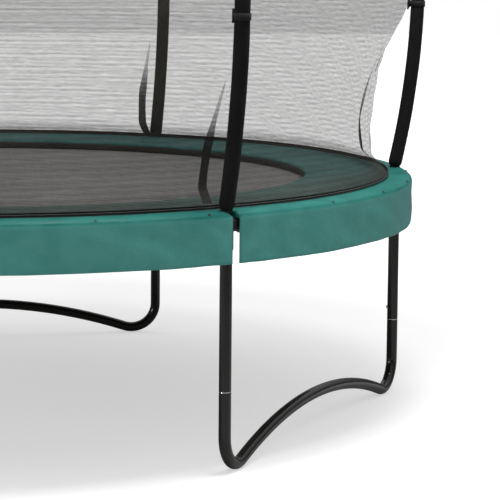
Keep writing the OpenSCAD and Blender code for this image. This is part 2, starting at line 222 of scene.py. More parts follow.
# ---------------------------------------------------------------------------------------------
# Tee joints: thick welded steel sockets in satin black powder coat, one over each leg, with the
# slight grain that powder leaves.
tee_coat, tree, shader = new_material("tee_powder_coat", Specular_IOR_Level=0.4)
weather = use_group(tree, weathering, Blotch_Scale=14.0, Dust=0.3)
place = add(tree, "ShaderNodeTexCoord")
colour = mix_colour(tree, weather.outputs["Blotches"], (0.010, 0.010, 0.010), (0.020, 0.019, 0.018))
tree.links.new(mix_colour(tree, weather.outputs["Dust Mask"], colour, DUST), shader.inputs["Base Color"])
tree.links.new(ramp(tree, weather.outputs["Blotches"], 0, 1, 0.42, 0.55), shader.inputs["Roughness"])
powder = add(tree, "ShaderNodeTexNoise", {"Vector": place.outputs["Object"]}, Scale=900.0, Detail=2.0)
bump = add(tree, "ShaderNodeBump", {"Height": powder.outputs["Fac"]}, Strength=0.25, Distance=0.0004)
tree.links.new(bump.outputs["Normal"], shader.inputs["Normal"])
for number in range(1, 7):
    coat_with(cad[f"tee_joint_{number}"], tee_coat)
    coat_with(cad[f"pole_lower_{number}"], tube_enamel)
    coat_with(cad[f"pole_upper_{number}"], tube_enamel)

# ---------------------------------------------------------------------------------------------
# Screws: hex-headed, zinc-plated, two through each tee's rail sleeve, one through its stub and
# one through each leg joint. Plating is slightly mottled.
zinc, tree, shader = new_material("zinc_plate", Metallic=1.0)
place = add(tree, "ShaderNodeTexCoord")
spangle = add(tree, "ShaderNodeTexVoronoi", {"Vector": place.outputs["Object"]}, Scale=420.0)
tree.links.new(mix_colour(tree, spangle.outputs["Distance"], (0.50, 0.51, 0.52), (0.68, 0.68, 0.67)),
               shader.inputs["Base Color"])
tree.links.new(ramp(tree, spangle.outputs["Distance"], 0, 1, 0.28, 0.46), shader.inputs["Roughness"])
coat_with(cad["frame_screws"], zinc)

# ---------------------------------------------------------------------------------------------
# Pole sleeves: closed-cell foam tube in a matte black woven cover, drawn over each curved pole.
# The cover's long seam stands up as a twin ridge, and the straps cinch the foam a little.
POLE_COUNT = 6
POLE_STEP = math.tau / POLE_COUNT
FIRST_POLE = math.radians(30)
POLE_BEND = 3.0
POLE_PEAK = (1.573, 1.480)
SLEEVE_RADIUS = 0.0246
SLEEVE_BORE = 0.0154
SLEEVE_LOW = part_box("pole_sleeve_1")[0].z + 0.004
SLEEVE_HIGH = 2.478
STRAP_HEIGHTS = (1.387, 1.928, 2.440)


def pole_radius(z):
    """Distance of a pole's centre line from the middle of the mat, at height z."""
    return POLE_PEAK[0] - POLE_BEND + np.sqrt(POLE_BEND ** 2 - (z - POLE_PEAK[1]) ** 2)


def around(r, azimuth, z):
    """A point from its radius, its azimuth (0 towards -Y, growing towards +X) and its height."""
    return np.stack([r * np.sin(azimuth), -r * np.cos(azimuth), z + 0 * r], axis=-1)


def mesh_piece(name, points, faces, smooth=True, uv=None):
    """An object from a list of points and faces, smooth-shaded, with a UV for each point."""
    mesh = bpy.data.meshes.new(name)
    mesh.from_pydata([tuple(p) for p in points], [], [tuple(map(int, f)) for f in faces])
    if uv is not None:
        layer = mesh.uv_layers.new(name="cloth")
        corners = np.zeros(len(mesh.loops), np.int32)
        mesh.loops.foreach_get("vertex_index", corners)
        layer.data.foreach_set("uv", np.asarray(uv, np.float32)[corners].ravel())
    mesh.polygons.foreach_set("use_smooth", [smooth] * len(mesh.polygons))
    mesh.update()
    made = bpy.data.objects.new(name, mesh)
    bpy.context.scene.collection.objects.link(made)
    return made


def grid_faces(rows, cols, close_rows=False, close_cols=False, first=0):
    """Quads over a grid of rows x cols points, wrapped round where it closes."""
    faces = []
    for j in range(rows if close_rows else rows - 1):
        for i in range(cols if close_cols else cols - 1):
            here, above = first + j * cols, first + (j + 1) % rows * cols
            n = (i + 1) % cols
            faces.append((here + i, here + n, above + n, above + i))
    return faces


def face_out(piece):
    """Turns every face of a closed mesh outwards."""
    work = bmesh.new()
    work.from_mesh(piece.data)
    bmesh.ops.recalc_face_normals(work, faces=work.faces)
    work.to_mesh(piece.data)
    work.free()
    return piece


def make_sleeve(azimuth, seed):
    """Closed tube along one pole: outside, rounded ends and bore, as one grid that closes on itself."""
    rows, sides = 132, 40
    rng = np.random.default_rng(seed)
    heights = np.linspace(SLEEVE_LOW, SLEEVE_HIGH, rows)
    turn = np.linspace(0, math.tau, sides, endpoint=False)
    wave = sum(rng.uniform(0.15, 0.4) * np.sin(heights[:, None] * rng.uniform(8, 42) + turn * k
                                             + rng.uniform(0, math.tau)) for k in range(5))
    crease = np.sin(heights[:, None] * 210 + 2.2 * np.sin(turn + seed))
    crease = crease * np.sin(heights * 3.1 + seed)[:, None] ** 6
    radius = SLEEVE_RADIUS - 0.0006 + 0.0004 * wave + 0.0003 * crease
    for ridge in (-0.13, 0.13):
        seam = turn - (math.pi * 0.5 + ridge + 0.05 * np.sin(heights * 2.0)[:, None])
        radius = radius + 0.0009 * np.exp(-((seam / 0.07) ** 2))
    seam = turn - (math.pi * 0.5 + 0.05 * np.sin(heights * 2.0)[:, None])
    radius = radius - 0.0009 * np.exp(-((seam / 0.05) ** 2))
    for z in STRAP_HEIGHTS:
        radius = radius - 0.0009 * np.exp(-(((heights - z) / 0.016) ** 2))[:, None]
    from_end = np.minimum(heights - SLEEVE_LOW, SLEEVE_HIGH - heights)[:, None]
    radius = radius - 0.005 * np.clip(1 - from_end / 0.008, 0, 1) ** 2
    loops = [(heights[k], radius[k]) for k in range(rows)]
    loops += [(z, np.full(sides, SLEEVE_BORE)) for z in np.linspace(SLEEVE_HIGH, SLEEVE_LOW, 30)]
    points = []
    for z, r in loops:
        lean = math.asin((z - POLE_PEAK[1]) / POLE_BEND)
        centre = pole_radius(np.array(z))
        outward = np.array([math.cos(lean), 0, math.sin(lean)])
        local = np.array([centre, 0, z]) + (r * np.cos(turn))[:, None] * outward \
            + (r * np.sin(turn))[:, None] * np.array([0, 1, 0])
        points.append(np.stack([local[:, 0] * math.sin(azimuth) + local[:, 1] * math.cos(azimuth),
                                -local[:, 0] * math.cos(azimuth) + local[:, 1] * math.sin(azimuth),
                                local[:, 2]], axis=-1))
    uv = [(t * SLEEVE_RADIUS, z) for z, _ in loops for t in turn]
    faces = grid_faces(len(loops), sides, close_rows=True, close_cols=True)
    return np.concatenate(points), faces, uv


# Plain weave: threads over and under each other at a given pitch, on a piece's own UV in metres.
plain_weave, weave_in, weave_out = shader_group("plain_weave", {"Threads": 900.0}, ["Height", "Gaps"])
weave_at = add(plain_weave, "ShaderNodeUVMap", uv_map="cloth")
weave_xy = add(plain_weave, "ShaderNodeSeparateXYZ", {"Vector": weave_at.outputs["UV"]})
waves = []
for axis in ("X", "Y"):
    angle = times(plain_weave, weave_xy.outputs[axis], weave_in.outputs["Threads"])
    waves.append(math_node(plain_weave, "SINE", times(plain_weave, angle, math.tau), 0))
crossing = times(plain_weave, waves[0], waves[1])
plain_weave.links.new(ramp(plain_weave, crossing, -1, 1), weave_out.inputs["Height"])
plain_weave.links.new(ramp(plain_weave, math_node(plain_weave, "ABSOLUTE", crossing, 0), 0.0, 0.25, 1, 0),
                      weave_out.inputs["Gaps"])


def cloth_material(name, dark, light, threads, rough, sheen, dusty=0.25, depth=0.0006, gloss=0.25):
    """Woven cloth: colour from the weave and faded patches, bump from the threads."""
    material, tree, shader = new_material(name, Sheen_Weight=sheen, Sheen_Roughness=0.45,
                                          Specular_IOR_Level=gloss)
    weave = use_group(tree, plain_weave, Threads=float(threads))
    weather = use_group(tree, weathering, Blotch_Scale=4.0, Dust=dusty)
    colour = mix_colour(tree, weather.outputs["Blotches"], dark, light)
    # The gaps between the threads are darkened: painted shade.
    gap_shade = times(tree, weave.outputs["Gaps"], 0.6)
    colour = mix_colour(tree, gap_shade, colour, tuple(0.35 * c for c in dark))
    colour = mix_colour(tree, weather.outputs["Dust Mask"], colour, DUST)
    tree.links.new(colour, shader.inputs["Base Color"])
    tree.links.new(ramp(tree, weave.outputs["Height"], 0, 1, rough + 0.1, rough), shader.inputs["Roughness"])
    bump = add(tree, "ShaderNodeBump", {"Height": weave.outputs["Height"]}, Strength=0.5, Distance=depth)
    tree.links.new(bump.outputs["Normal"], shader.inputs["Normal"])
    return material


sleeve_cloth = cloth_material("sleeve_cover", (0.0045, 0.0045, 0.0045), (0.0085, 0.0083, 0.008),
                              1200, 0.66, 0.02, dusty=0.04, gloss=0.12)
for number in range(1, 7):
    points, faces, uv = make_sleeve(FIRST_POLE + (number - 1) * POLE_STEP, seed=number)
    sleeve = face_out(mesh_piece(f"foam_sleeve_{number}", points, faces, uv=uv))
    coat_with(sleeve, sleeve_cloth)
    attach(sleeve, "frame")
    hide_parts(f"pole_sleeve_{number}")

# Pole caps: injection-moulded black plastic with a fine spark-eroded grain, pushed over each
# sleeve's top end.
cap_plastic, tree, shader = new_material("cap_plastic", Specular_IOR_Level=0.45)
weather = use_group(tree, weathering, Blotch_Scale=30.0, Dust=0.5)
place = add(tree, "ShaderNodeTexCoord")
colour = mix_colour(tree, weather.outputs["Blotches"], (0.012, 0.012, 0.012), (0.022, 0.022, 0.021))
tree.links.new(mix_colour(tree, weather.outputs["Dust Mask"], colour, DUST), shader.inputs["Base Color"])
tree.links.new(ramp(tree, weather.outputs["Blotches"], 0, 1, 0.45, 0.6), shader.inputs["Roughness"])
grain = add(tree, "ShaderNodeTexNoise", {"Vector": place.outputs["Object"]}, Scale=1500.0, Detail=1.0)
bump = add(tree, "ShaderNodeBump", {"Height": grain.outputs["Fac"]}, Strength=0.3, Distance=0.0003)
tree.links.new(bump.outputs["Normal"], shader.inputs["Normal"])
coat_with(cad["pole_caps"], cap_plastic)

# ---------------------------------------------------------------------------------------------
# Jumping mat: one disc of black woven polypropylene, pulled tight by the springs, with a hair of
# sag in the middle. Its flat tape threads give it a grey, slightly shiny face.
mat_low, mat_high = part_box("mat")
MAT_RADIUS = mat_high.x
MAT_SAG = 0.004
rings, spokes = 40, 180
ring_radii = MAT_RADIUS * (np.arange(1, rings + 1) / rings) ** 0.8
spoke_angles = np.linspace(0, math.tau, spokes, endpoint=False)


def mat_height(r, azimuth):
    """Height of the mat's face: a shallow dish with faint radial pull marks near the edge."""
    dish = -MAT_SAG * np.clip(1 - (r / MAT_RADIUS) ** 2, 0, 1)
    pull = 0.0009 * np.cos(60 * (azimuth + math.radians(3))) * np.clip(r / MAT_RADIUS, 0, 1) ** 12
    return (mat_low.z + mat_high.z) / 2 + dish + pull


points = [(0, 0, mat_height(0.0, 0.0))]
for r in ring_radii:
    points += list(around(np.full(spokes, r), spoke_angles, mat_height(r, spoke_angles)))
faces = [(0, 1 + i, 1 + (i + 1) % spokes) for i in range(spokes)]
faces += [tuple(reversed(f)) for f in grid_faces(rings, spokes, close_cols=True, first=1)]
jump_mat = mesh_piece("jump_mat", points, faces, uv=[(p[0], p[1]) for p in points])
face_out(jump_mat)
thick = jump_mat.modifiers.new("cloth thickness", "SOLIDIFY")
thick.thickness, thick.offset = 0.002, 0.0

# The weave: wide flat tapes in both directions. Each tape catches the light a little differently.
mat_weave, tree, shader = new_material("mat_weave", Sheen_Weight=0.25, Sheen_Roughness=0.4,
                                       Specular_IOR_Level=0.35)
weave = use_group(tree, plain_weave, Threads=260.0)
place = add(tree, "ShaderNodeUVMap", uv_map="cloth")
streaks = []
for stretch in ((3.0, 260.0, 1.0), (260.0, 3.0, 1.0)):
    turned = add(tree, "ShaderNodeMapping", {"Vector": place.outputs["UV"]})
    turned.inputs["Scale"].default_value = stretch
    streak = add(tree, "ShaderNodeTexNoise", {"Vector": turned.outputs["Vector"]}, Scale=1.0, Detail=3.0)
    streaks.append(streak.outputs["Fac"])
threads_light = plus(tree, times(tree, streaks[0], 0.5),
                          times(tree, streaks[1], 0.5))
weather = use_group(tree, weathering, Blotch_Scale=1.6, Dust=0.1)
colour = mix_colour(tree, ramp(tree, threads_light, 0.38, 0.62), (0.064, 0.062, 0.061), (0.100, 0.098, 0.095))
colour = mix_colour(tree, times(tree, weather.outputs["Blotches"], 0.35), colour,
                    (0.150, 0.147, 0.142))
# The gaps between the tapes are darkened: painted shade.
colour = mix_colour(tree, times(tree, weave.outputs["Gaps"], 0.5), colour,
                    (0.030, 0.029, 0.028))
tree.links.new(colour, shader.inputs["Base Color"])
tree.links.new(ramp(tree, threads_light, 0.35, 0.65, 0.62, 0.5), shader.inputs["Roughness"])
bump = add(tree, "ShaderNodeBump", {"Height": weave.outputs["Height"]}, Strength=0.4, Distance=0.0008)
tree.links.new(bump.outputs["Normal"], shader.inputs["Normal"])
coat_with(jump_mat, mat_weave)
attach(jump_mat, "mat")
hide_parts("mat")

# ---------------------------------------------------------------------------------------------
# Webbing round the mat's edge: black ribbed polyester, folded round the V-rings' bases and sewn
# down with two rows of pale thread.
band_low, band_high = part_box("mat_band")
BAND_OUT = band_high.x
BAND_IN = BAND_OUT - 0.040


def ring_band(name, section, azimuths, uv_along):
    """A closed band round the middle, from its section as (radius, height) points."""
    cols = len(section)
    points = [p for a in azimuths for p in
              around(np.array([s[0] for s in section]), a, np.array([s[1] for s in section]))]
    lengths = np.cumsum([0] + [math.dist(section[i], section[i + 1]) for i in range(cols - 1)])
    uv = [(a * uv_along, length) for a in azimuths for length in lengths]
    return face_out(mesh_piece(name, points, grid_faces(len(azimuths), cols, True, True), uv=uv))


round_angles = np.linspace(0, math.tau, 240, endpoint=False)
edge = 0.0012
band_section = [(BAND_IN, band_low.z + edge), (BAND_IN + edge, band_low.z), (BAND_OUT - edge, band_low.z),
                (BAND_OUT, band_low.z + edge), (BAND_OUT, band_high.z - edge),
                (BAND_OUT - edge, band_high.z), (BAND_IN + edge, band_high.z), (BAND_IN, band_high.z - edge)]
mat_webbing = ring_band("mat_webbing", band_section, round_angles, BAND_OUT)

# Ribbed webbing: fine ribs across the tape, with painted shade in the grooves between them.
webbing, tree, shader = new_material("black_webbing", Sheen_Weight=0.05, Specular_IOR_Level=0.15)
place = add(tree, "ShaderNodeUVMap", uv_map="cloth")
xy = add(tree, "ShaderNodeSeparateXYZ", {"Vector": place.outputs["UV"]})
rib = math_node(tree, "SINE", times(tree, xy.outputs["X"], 2600.0), 0)
rib = ramp(tree, rib, -1, 1)
weather = use_group(tree, weathering, Blotch_Scale=6.0, Dust=0.05)
colour = mix_colour(tree, rib, (0.005, 0.005, 0.005), (0.012, 0.0117, 0.0114))
colour = mix_colour(tree, times(tree, weather.outputs["Blotches"], 0.5), colour,
                    (0.018, 0.0175, 0.017))
tree.links.new(mix_colour(tree, weather.outputs["Dust Mask"], colour, DUST), shader.inputs["Base Color"])
tree.links.new(ramp(tree, rib, 0, 1, 0.8, 0.6), shader.inputs["Roughness"])
bump = add(tree, "ShaderNodeBump", {"Height": rib}, Strength=0.5, Distance=0.0005)
tree.links.new(bump.outputs["Normal"], shader.inputs["Normal"])
coat_with(mat_webbing, webbing)
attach(mat_webbing, "mat")
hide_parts("mat_band")

# Two rows of lock stitch hold the webbing to the mat: short pale stitches with small gaps.
ring_tree = bpy.data.node_groups.new("copies_in_a_ring", "GeometryNodeTree")
RING_INPUTS = {"Count": ("NodeSocketInt", 60), "First Angle": ("NodeSocketFloat", 0.0),
               "Step": ("NodeSocketFloat", 0.1), "Finish": ("NodeSocketMaterial", None)}
ring_tree.interface.new_socket("Shape", in_out="INPUT", socket_type="NodeSocketGeometry")
for label, (kind, value) in RING_INPUTS.items():
    socket = ring_tree.interface.new_socket(label, in_out="INPUT", socket_type=kind)
    if value is not None:
        socket.default_value = value
ring_tree.interface.new_socket("Ring", in_out="OUTPUT", socket_type="NodeSocketGeometry")
ring_in = ring_tree.nodes.new("NodeGroupInput").outputs
places = add(ring_tree, "GeometryNodePoints", {"Count": ring_in["Count"]})
index = add(ring_tree, "GeometryNodeInputIndex")
turn = plus(ring_tree, times(ring_tree, index.outputs[0], ring_in["Step"]),
                 ring_in["First Angle"])
rotation = add(ring_tree, "ShaderNodeCombineXYZ", {"Z": turn})
copies = add(ring_tree, "GeometryNodeInstanceOnPoints", {
    "Points": places.outputs[0], "Instance": ring_in["Shape"], "Rotation": rotation.outputs[0]})
real = add(ring_tree, "GeometryNodeRealizeInstances", {"Geometry": copies.outputs[0]})
finished = add(ring_tree, "GeometryNodeSetMaterial", {
    "Geometry": real.outputs[0], "Material": ring_in["Finish"]})
ring_out = ring_tree.nodes.new("NodeGroupOutput")
ring_tree.links.new(finished.outputs[0], ring_out.inputs[0])


def copy_in_ring(shape, name, count, first, step, finish):
    """Copies of a shape, made at azimuth 0, turned about the middle and made one plain mesh."""
    values = {"Count": count, "First Angle": first, "Step": step, "Finish": finish}
    modifier = shape.modifiers.new("ring", "NODES")
    modifier.node_group = ring_tree
    for socket in ring_tree.interface.items_tree:
        if socket.in_out == "INPUT" and socket.name in values:
            modifier[socket.identifier] = values[socket.name]
    evaluated = shape.evaluated_get(bpy.context.evaluated_depsgraph_get())
    made = bpy.data.objects.new(name, bpy.data.meshes.new_from_object(evaluated))
    made.data.name = name
    bpy.context.scene.collection.objects.link(made)
    shape.modifiers.remove(modifier)
    return made


def discard(piece):
    bpy.data.objects.remove(piece, do_unlink=True)


def sweep(name, path, radius, sides, closed=False):
    """A round wire along a path of points, with closed ends."""
    path = np.asarray(path, float)
    count = len(path)
    ahead = np.roll(path, -1, 0) - np.roll(path, 1, 0)
    if not closed:
        ahead[0], ahead[-1] = path[1] - path[0], path[-1] - path[-2]
    ahead /= np.linalg.norm(ahead, axis=1)[:, None]
    side = np.cross(ahead[0], (0.0, 0.0, 1.0))
    if np.linalg.norm(side) < 1e-6:
        side = np.cross(ahead[0], (0.0, 1.0, 0.0))
    points, around_wire = [], np.linspace(0, math.tau, sides, endpoint=False)
    for k in range(count):
        side = side - ahead[k] * (side @ ahead[k])
        side /= np.linalg.norm(side)
        up = np.cross(ahead[k], side)
        loop = np.cos(around_wire)[:, None] * side + np.sin(around_wire)[:, None] * up
        points.append(path[k] + radius * loop)
    faces = grid_faces(count, sides, close_rows=closed, close_cols=True)
    if not closed:
        faces += [tuple(range(sides)), tuple(range((count - 1) * sides, count * sides))]
    return face_out(mesh_piece(name, np.concatenate(points), faces))


def bead(name, low, high):
    """A small brick with its long edges pressed in: one stitch, one tooth."""
    (x0, y0, z0), (x1, y1, z1) = low, high
    inset = 0.25 * min(x1 - x0, y1 - y0)
    points = [(x, y, z) for z, d in ((z0, 0), ((z0 + z1) / 2, 0), (z1, inset))
              for x, y in ((x0 + d, y0 + d), (x1 - d, y0 + d), (x1 - d, y1 - d), (x0 + d, y1 - d))]
    faces = grid_faces(3, 4, close_cols=True) + [(3, 2, 1, 0), (8, 9, 10, 11)]
    return face_out(mesh_piece(name, points, faces, smooth=False))


thread, tree, shader = new_material("sewing_thread", Sheen_Weight=0.3, Specular_IOR_Level=0.3)
place = add(tree, "ShaderNodeTexCoord")
twist = add(tree, "ShaderNodeTexNoise", {"Vector": place.outputs["Object"]}, Scale=700.0, Detail=2.0)
tree.links.new(mix_colour(tree, twist.outputs["Fac"], (0.16, 0.16, 0.155), (0.30, 0.295, 0.285)),
               shader.inputs["Base Color"])
tree.links.new(ramp(tree, twist.outputs["Fac"], 0.3, 0.7, 0.85, 0.65), shader.inputs["Roughness"])

STITCHES = 1100
for row, radius in enumerate((BAND_IN + 0.005, BAND_OUT - 0.012)):
    stitch = bead("stitch", (-0.0026, -radius - 0.0005, mat_high.z - 0.0006),
                  (0.0026, -radius + 0.0005, mat_high.z + 0.0007))
    rows_of = copy_in_ring(stitch, f"mat_stitches_{row + 1}", STITCHES, 0.0, math.tau / STITCHES, thread)
    discard(stitch)
    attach(rows_of, "mat")

# ---------------------------------------------------------------------------------------------
# V-rings: zinc-plated 4 mm wire bent to a triangle with rounded corners. The base lies in the
# webbing's fold and the tip takes a spring's hook.
SPRINGS = 60
SPRING_STEP = math.tau / SPRINGS
ring_low, ring_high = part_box("v_rings")
WIRE = 0.002
RING_TIP = BAND_OUT + 0.025 - WIRE
RING_BASE = BAND_OUT - 0.008
ring_z = (ring_low.z + ring_high.z) / 2


def rounded_corners(corners, radius, steps=5):
    """A closed outline whose corners are replaced by short curves."""
    outline = []
    for k, corner in enumerate(corners):
        before, after = corners[k - 1], corners[(k + 1) % len(corners)]
        a = corner + (before - corner) / np.linalg.norm(before - corner) * radius
        b = corner + (after - corner) / np.linalg.norm(after - corner) * radius
        for t in np.linspace(0, 1, steps):
            outline.append((1 - t) ** 2 * a + 2 * t * (1 - t) * corner + t ** 2 * b)
    return outline


triangle = [np.array(c) for c in ((-0.021, -RING_BASE, ring_z), (0.0, -RING_TIP - 0.003, ring_z),
                                  (0.021, -RING_BASE, ring_z))]
v_ring = sweep("v_ring", rounded_corners(triangle, 0.007), WIRE, 8, closed=True)
v_rings = copy_in_ring(v_ring, "v_ring_wires", SPRINGS, SPRING_STEP / 2, SPRING_STEP, zinc)
discard(v_ring)
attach(v_rings, "mat")
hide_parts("v_rings")

# ---------------------------------------------------------------------------------------------
# Springs: close-wound zinc-plated steel wire. One hook holds a V-ring's tip and the other goes
# into the rail; in use each spring stretches and swings between the two.
COIL_IN = BAND_OUT + 0.047
COIL_OUT = COIL_IN + 0.137
COIL_RADIUS = 0.0093
RAIL_RADIUS = 1.5
TUBE_RADIUS = 0.019
TURNS = 34


def spring_path():
    """Inner hook, coil and outer hook as one wire, at azimuth 0."""
    path = [(0.0, -RING_TIP + 0.0015 + 0.0062 * math.cos(t), ring_z + 0.0062 * math.sin(t))
            for t in np.radians(np.linspace(-60, 180, 11))]
    path.append((0.0, -COIL_IN + 0.006, ring_z + 0.002))
    steps = 9 * TURNS
    for k in range(steps + 1):
        turn, along = math.tau * k / 9, k / steps
        grow = COIL_RADIUS * min(1.0, 0.25 + k / 9, 0.25 + (steps - k) / 9)
        path.append((grow * math.sin(turn), -(COIL_IN + (COIL_OUT - COIL_IN) * along),
                     ring_z + grow * math.cos(turn)))
    path.append((0.0, -COIL_OUT - 0.007, ring_z + 0.004))
    path.append((0.0, -RAIL_RADIUS + TUBE_RADIUS + 0.004, ring_z + 0.009))
    path.append((0.0, -RAIL_RADIUS + TUBE_RADIUS - 0.003, ring_z + 0.010))
    path.append((0.0, -RAIL_RADIUS + TUBE_RADIUS - 0.008, ring_z + 0.005))
    return path


spring_steel, tree, shader = new_material("spring_steel", Metallic=1.0)
place = add(tree, "ShaderNodeTexCoord")
weather = use_group(tree, weathering, Blotch_Scale=16.0, Dust=0.15)
tree.links.new(mix_colour(tree, weather.outputs["Blotches"], (0.56, 0.57, 0.585), (0.36, 0.355, 0.35)),
               shader.inputs["Base Color"])
tree.links.new(ramp(tree, weather.outputs["Blotches"], 0, 1, 0.26, 0.45), shader.inputs["Roughness"])
drawn = add(tree, "ShaderNodeTexNoise", {"Vector": place.outputs["Object"]}, Scale=600.0, Detail=2.0)
bump = add(tree, "ShaderNodeBump", {"Height": drawn.outputs["Fac"]}, Strength=0.15, Distance=0.0003)
tree.links.new(bump.outputs["Normal"], shader.inputs["Normal"])

one_spring = sweep("spring", spring_path(), 0.0017, 5)
SPRINGS_TOGETHER = 2
for number in range(SPRINGS // SPRINGS_TOGETHER):
    first = (number * SPRINGS_TOGETHER + 0.5) * SPRING_STEP
    pair = copy_in_ring(one_spring, f"springs_{number + 1}", SPRINGS_TOGETHER, first, SPRING_STEP,
                        spring_steel)
    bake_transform(pair)
    if number == 0:
        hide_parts("springs")
discard(one_spring)

# ---------------------------------------------------------------------------------------------
# Safety pad: a foam ring in a welded green PVC cover. It lies over the springs and the rail,
# turns down in a rounded crown and hangs as a skirt. At each pole it has a hole, and a slit
# runs from the hole through the skirt, so that the pad can be laid round the poles.
PAD_IN, PAD_OUT = 1.163, 1.535
PAD_TOP, PAD_LOW = 0.8065, 0.788
CROWN = 0.022
SKIRT_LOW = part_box("safety_pad")[0].z
HOLE_AT, HOLE_RADIUS = 1.496, 0.0215
SLIT_FROM, SLIT_TO = -0.001, 0.026
BAY_COLUMNS = 112


def pad_stations():
    """Half section of the cover as pairs of an outer and an inner point, from the hole to the hem."""
    half = (PAD_TOP - PAD_LOW) / 2
    middle = PAD_LOW + half
    pairs = [((PAD_IN, middle), (PAD_IN, middle))]
    for a in np.radians((30, 60, 90)):
        r = PAD_IN + half * (1 - math.cos(a))
        pairs.append(((r, middle + half * math.sin(a)), (r, middle - half * math.sin(a))))
    start = PAD_IN + half
    first_hole = HOLE_AT - HOLE_RADIUS
    for r in np.linspace(start, first_hole, 24)[1:]:
        pairs.append(((r, PAD_TOP), (r, PAD_LOW)))
    for r in np.linspace(first_hole, PAD_OUT - CROWN, 9)[1:]:
        pairs.append(((r, PAD_TOP), (r, PAD_LOW)))
    for a in np.radians(np.linspace(90, 0, 9)[1:]):
        outer = (PAD_OUT - CROWN + CROWN * math.cos(a), PAD_TOP - CROWN + CROWN * math.sin(a))
        inner_r = PAD_OUT - CROWN + (CROWN - 0.004) * math.sin(math.pi / 2 - a)
        pairs.append((outer, (inner_r, min(PAD_LOW, PAD_TOP - CROWN + 0.004 * math.sin(a)))))
    for z in np.linspace(PAD_TOP - CROWN, SKIRT_LOW + 0.002, 15)[1:]:
        pairs.append(((PAD_OUT, z), (PAD_OUT - 0.004, z)))
    pairs.append(((PAD_OUT - 0.001, SKIRT_LOW), (PAD_OUT - 0.003, SKIRT_LOW)))
    return pairs


def slit_edges(r, z):
    """How far the cover's two cut edges stand from a pole's plane at one station."""
    if r < HOLE_AT:
        reach = math.sqrt(max(0.0, HOLE_RADIUS ** 2 - (r - HOLE_AT) ** 2))
        return -reach, reach
    down = min(1.0, max(0.0, (PAD_TOP - z) / 0.030) + max(0.0, (r - HOLE_AT) / 0.039) * 0.35)
    down = down * down * (3 - 2 * down)
    return -HOLE_RADIUS + (SLIT_FROM + HOLE_RADIUS) * down, HOLE_RADIUS + (SLIT_TO - HOLE_RADIUS) * down


def cover_wrinkle(r, z, azimuth, outside):
    """How far the cover stands off its plain section: pulled flat on top, loose on the skirt."""
    bay = ((azimuth - FIRST_POLE) / POLE_STEP) % 1.0
    from_slit = min(bay, 1 - bay) * POLE_STEP * PAD_OUT
    along = azimuth * PAD_OUT
    depth = PAD_TOP - z
    if not outside:
        return 0.0008 * noise.noise(Vector((along * 9, r * 9, z * 9)))
    height = 0.0011 * noise.noise(Vector((along * 5.0, r * 14, z * 16)))
    height += 0.0007 * noise.noise(Vector((along * 17.0, r * 30 + 7, z * 34)))
    on_skirt = min(1.0, max(0.0, (depth - 0.016) / 0.05))
    folds = noise.noise(Vector((along * 7.0 + 14 * z, 3.1, z * 5.0)))
    height += on_skirt * 0.0032 * folds
    gather = math.sin(55 * (from_slit + 0.8 * depth) + 3 * folds)
    height += on_skirt * 0.0022 * math.exp(-from_slit / 0.10) * gather
    on_crown = math.exp(-(((depth - 0.007) / 0.007) ** 2)) if r > 1.50 else 0.0
    pucker = noise.noise(Vector((along * 34.0, 8.2, 1.7)))
    pucker += 0.6 * noise.noise(Vector((along * 75.0, 2.2, 0.7)))
    height += on_crown * 0.0013 * pucker
    seam = math.exp(-(((depth - 0.0035) / 0.0016) ** 2)) if r > 1.50 else 0.0
    height -= seam * 0.0011
    if z > PAD_TOP - 0.001:
        under_hem = math.exp(-(((r - 1.451) / 0.007) ** 2))
        billow = math.sin(math.pi * min(1.0, max(0.0, (r - PAD_IN) / (1.451 - PAD_IN))))
        height += 0.0026 * billow + 0.0016 * billow * noise.noise(Vector((along * 4.0, r * 22, 5.0)))
        height -= 0.0022 * under_hem
    return height


def make_pad():
    stations = pad_stations()
    count = len(stations)
    first_open = next(k for k, (o, _) in enumerate(stations) if o[0] >= HOLE_AT - HOLE_RADIUS - 1e-6)
    points, faces, uv = [], [], []
    normals = []
    for k in range(count):
        a, b = stations[max(k - 1, 0)][0], stations[min(k + 1, count - 1)][0]
        tangent = np.array((b[0] - a[0], b[1] - a[1]))
        tangent /= np.linalg.norm(tangent)
        normals.append((-tangent[1], tangent[0]))
    for bay in range(POLE_COUNT):
        start = len(points)
        near, far = FIRST_POLE + bay * POLE_STEP, FIRST_POLE + (bay + 1) * POLE_STEP
        for skin in (0, 1):
            for k, pair in enumerate(stations):
                r, z = pair[skin]
                left, right = slit_edges(*pair[0])
                if k <= first_open:
                    left = right = 0.0
                for c in range(BAY_COLUMNS + 1):
                    t = c / BAY_COLUMNS
                    t = t - 0.10 * math.sin(math.tau * t) / math.tau
                    azimuth = (near + right / r) * (1 - t) + (far + left / r) * t
                    lift = cover_wrinkle(pair[0][0], z if skin == 0 else pair[1][1], azimuth, skin == 0)
                    fade = min(1.0, min(c, BAY_COLUMNS - c) / 3) if k > first_open else 1.0
                    nr, nz = normals[k]
                    sign = 1 if skin == 0 else -0.6
                    reach, height = r + nr * lift * sign * fade, z + nz * lift * sign * fade
                    points.append((reach * math.sin(azimuth), -reach * math.cos(azimuth), height))
                    uv.append((azimuth * PAD_OUT, (k if skin == 0 else -k) * 0.012))
        cols = BAY_COLUMNS + 1
        faces += grid_faces(count, cols, first=start)
        faces += grid_faces(count, cols, first=start + count * cols)
        skin_step = count * cols
        for c in range(cols - 1):
            k = start + (count - 1) * cols + c
            faces.append((k, k + 1, k + 1 + skin_step, k + skin_step))
        for c in (0, cols - 1):
            for row in range(first_open, count - 1):
                k = start + row * cols + c
                faces.append((k, k + cols, k + cols + skin_step, k + skin_step))
    pad = mesh_piece("pad_cover", points, faces, uv=uv)
    work = bmesh.new()
    work.from_mesh(pad.data)
    bmesh.ops.remove_doubles(work, verts=work.verts, dist=0.00002)
    bmesh.ops.recalc_face_normals(work, faces=work.faces)
    work.to_mesh(pad.data)
    work.free()
    return pad


pad_cover = make_pad()
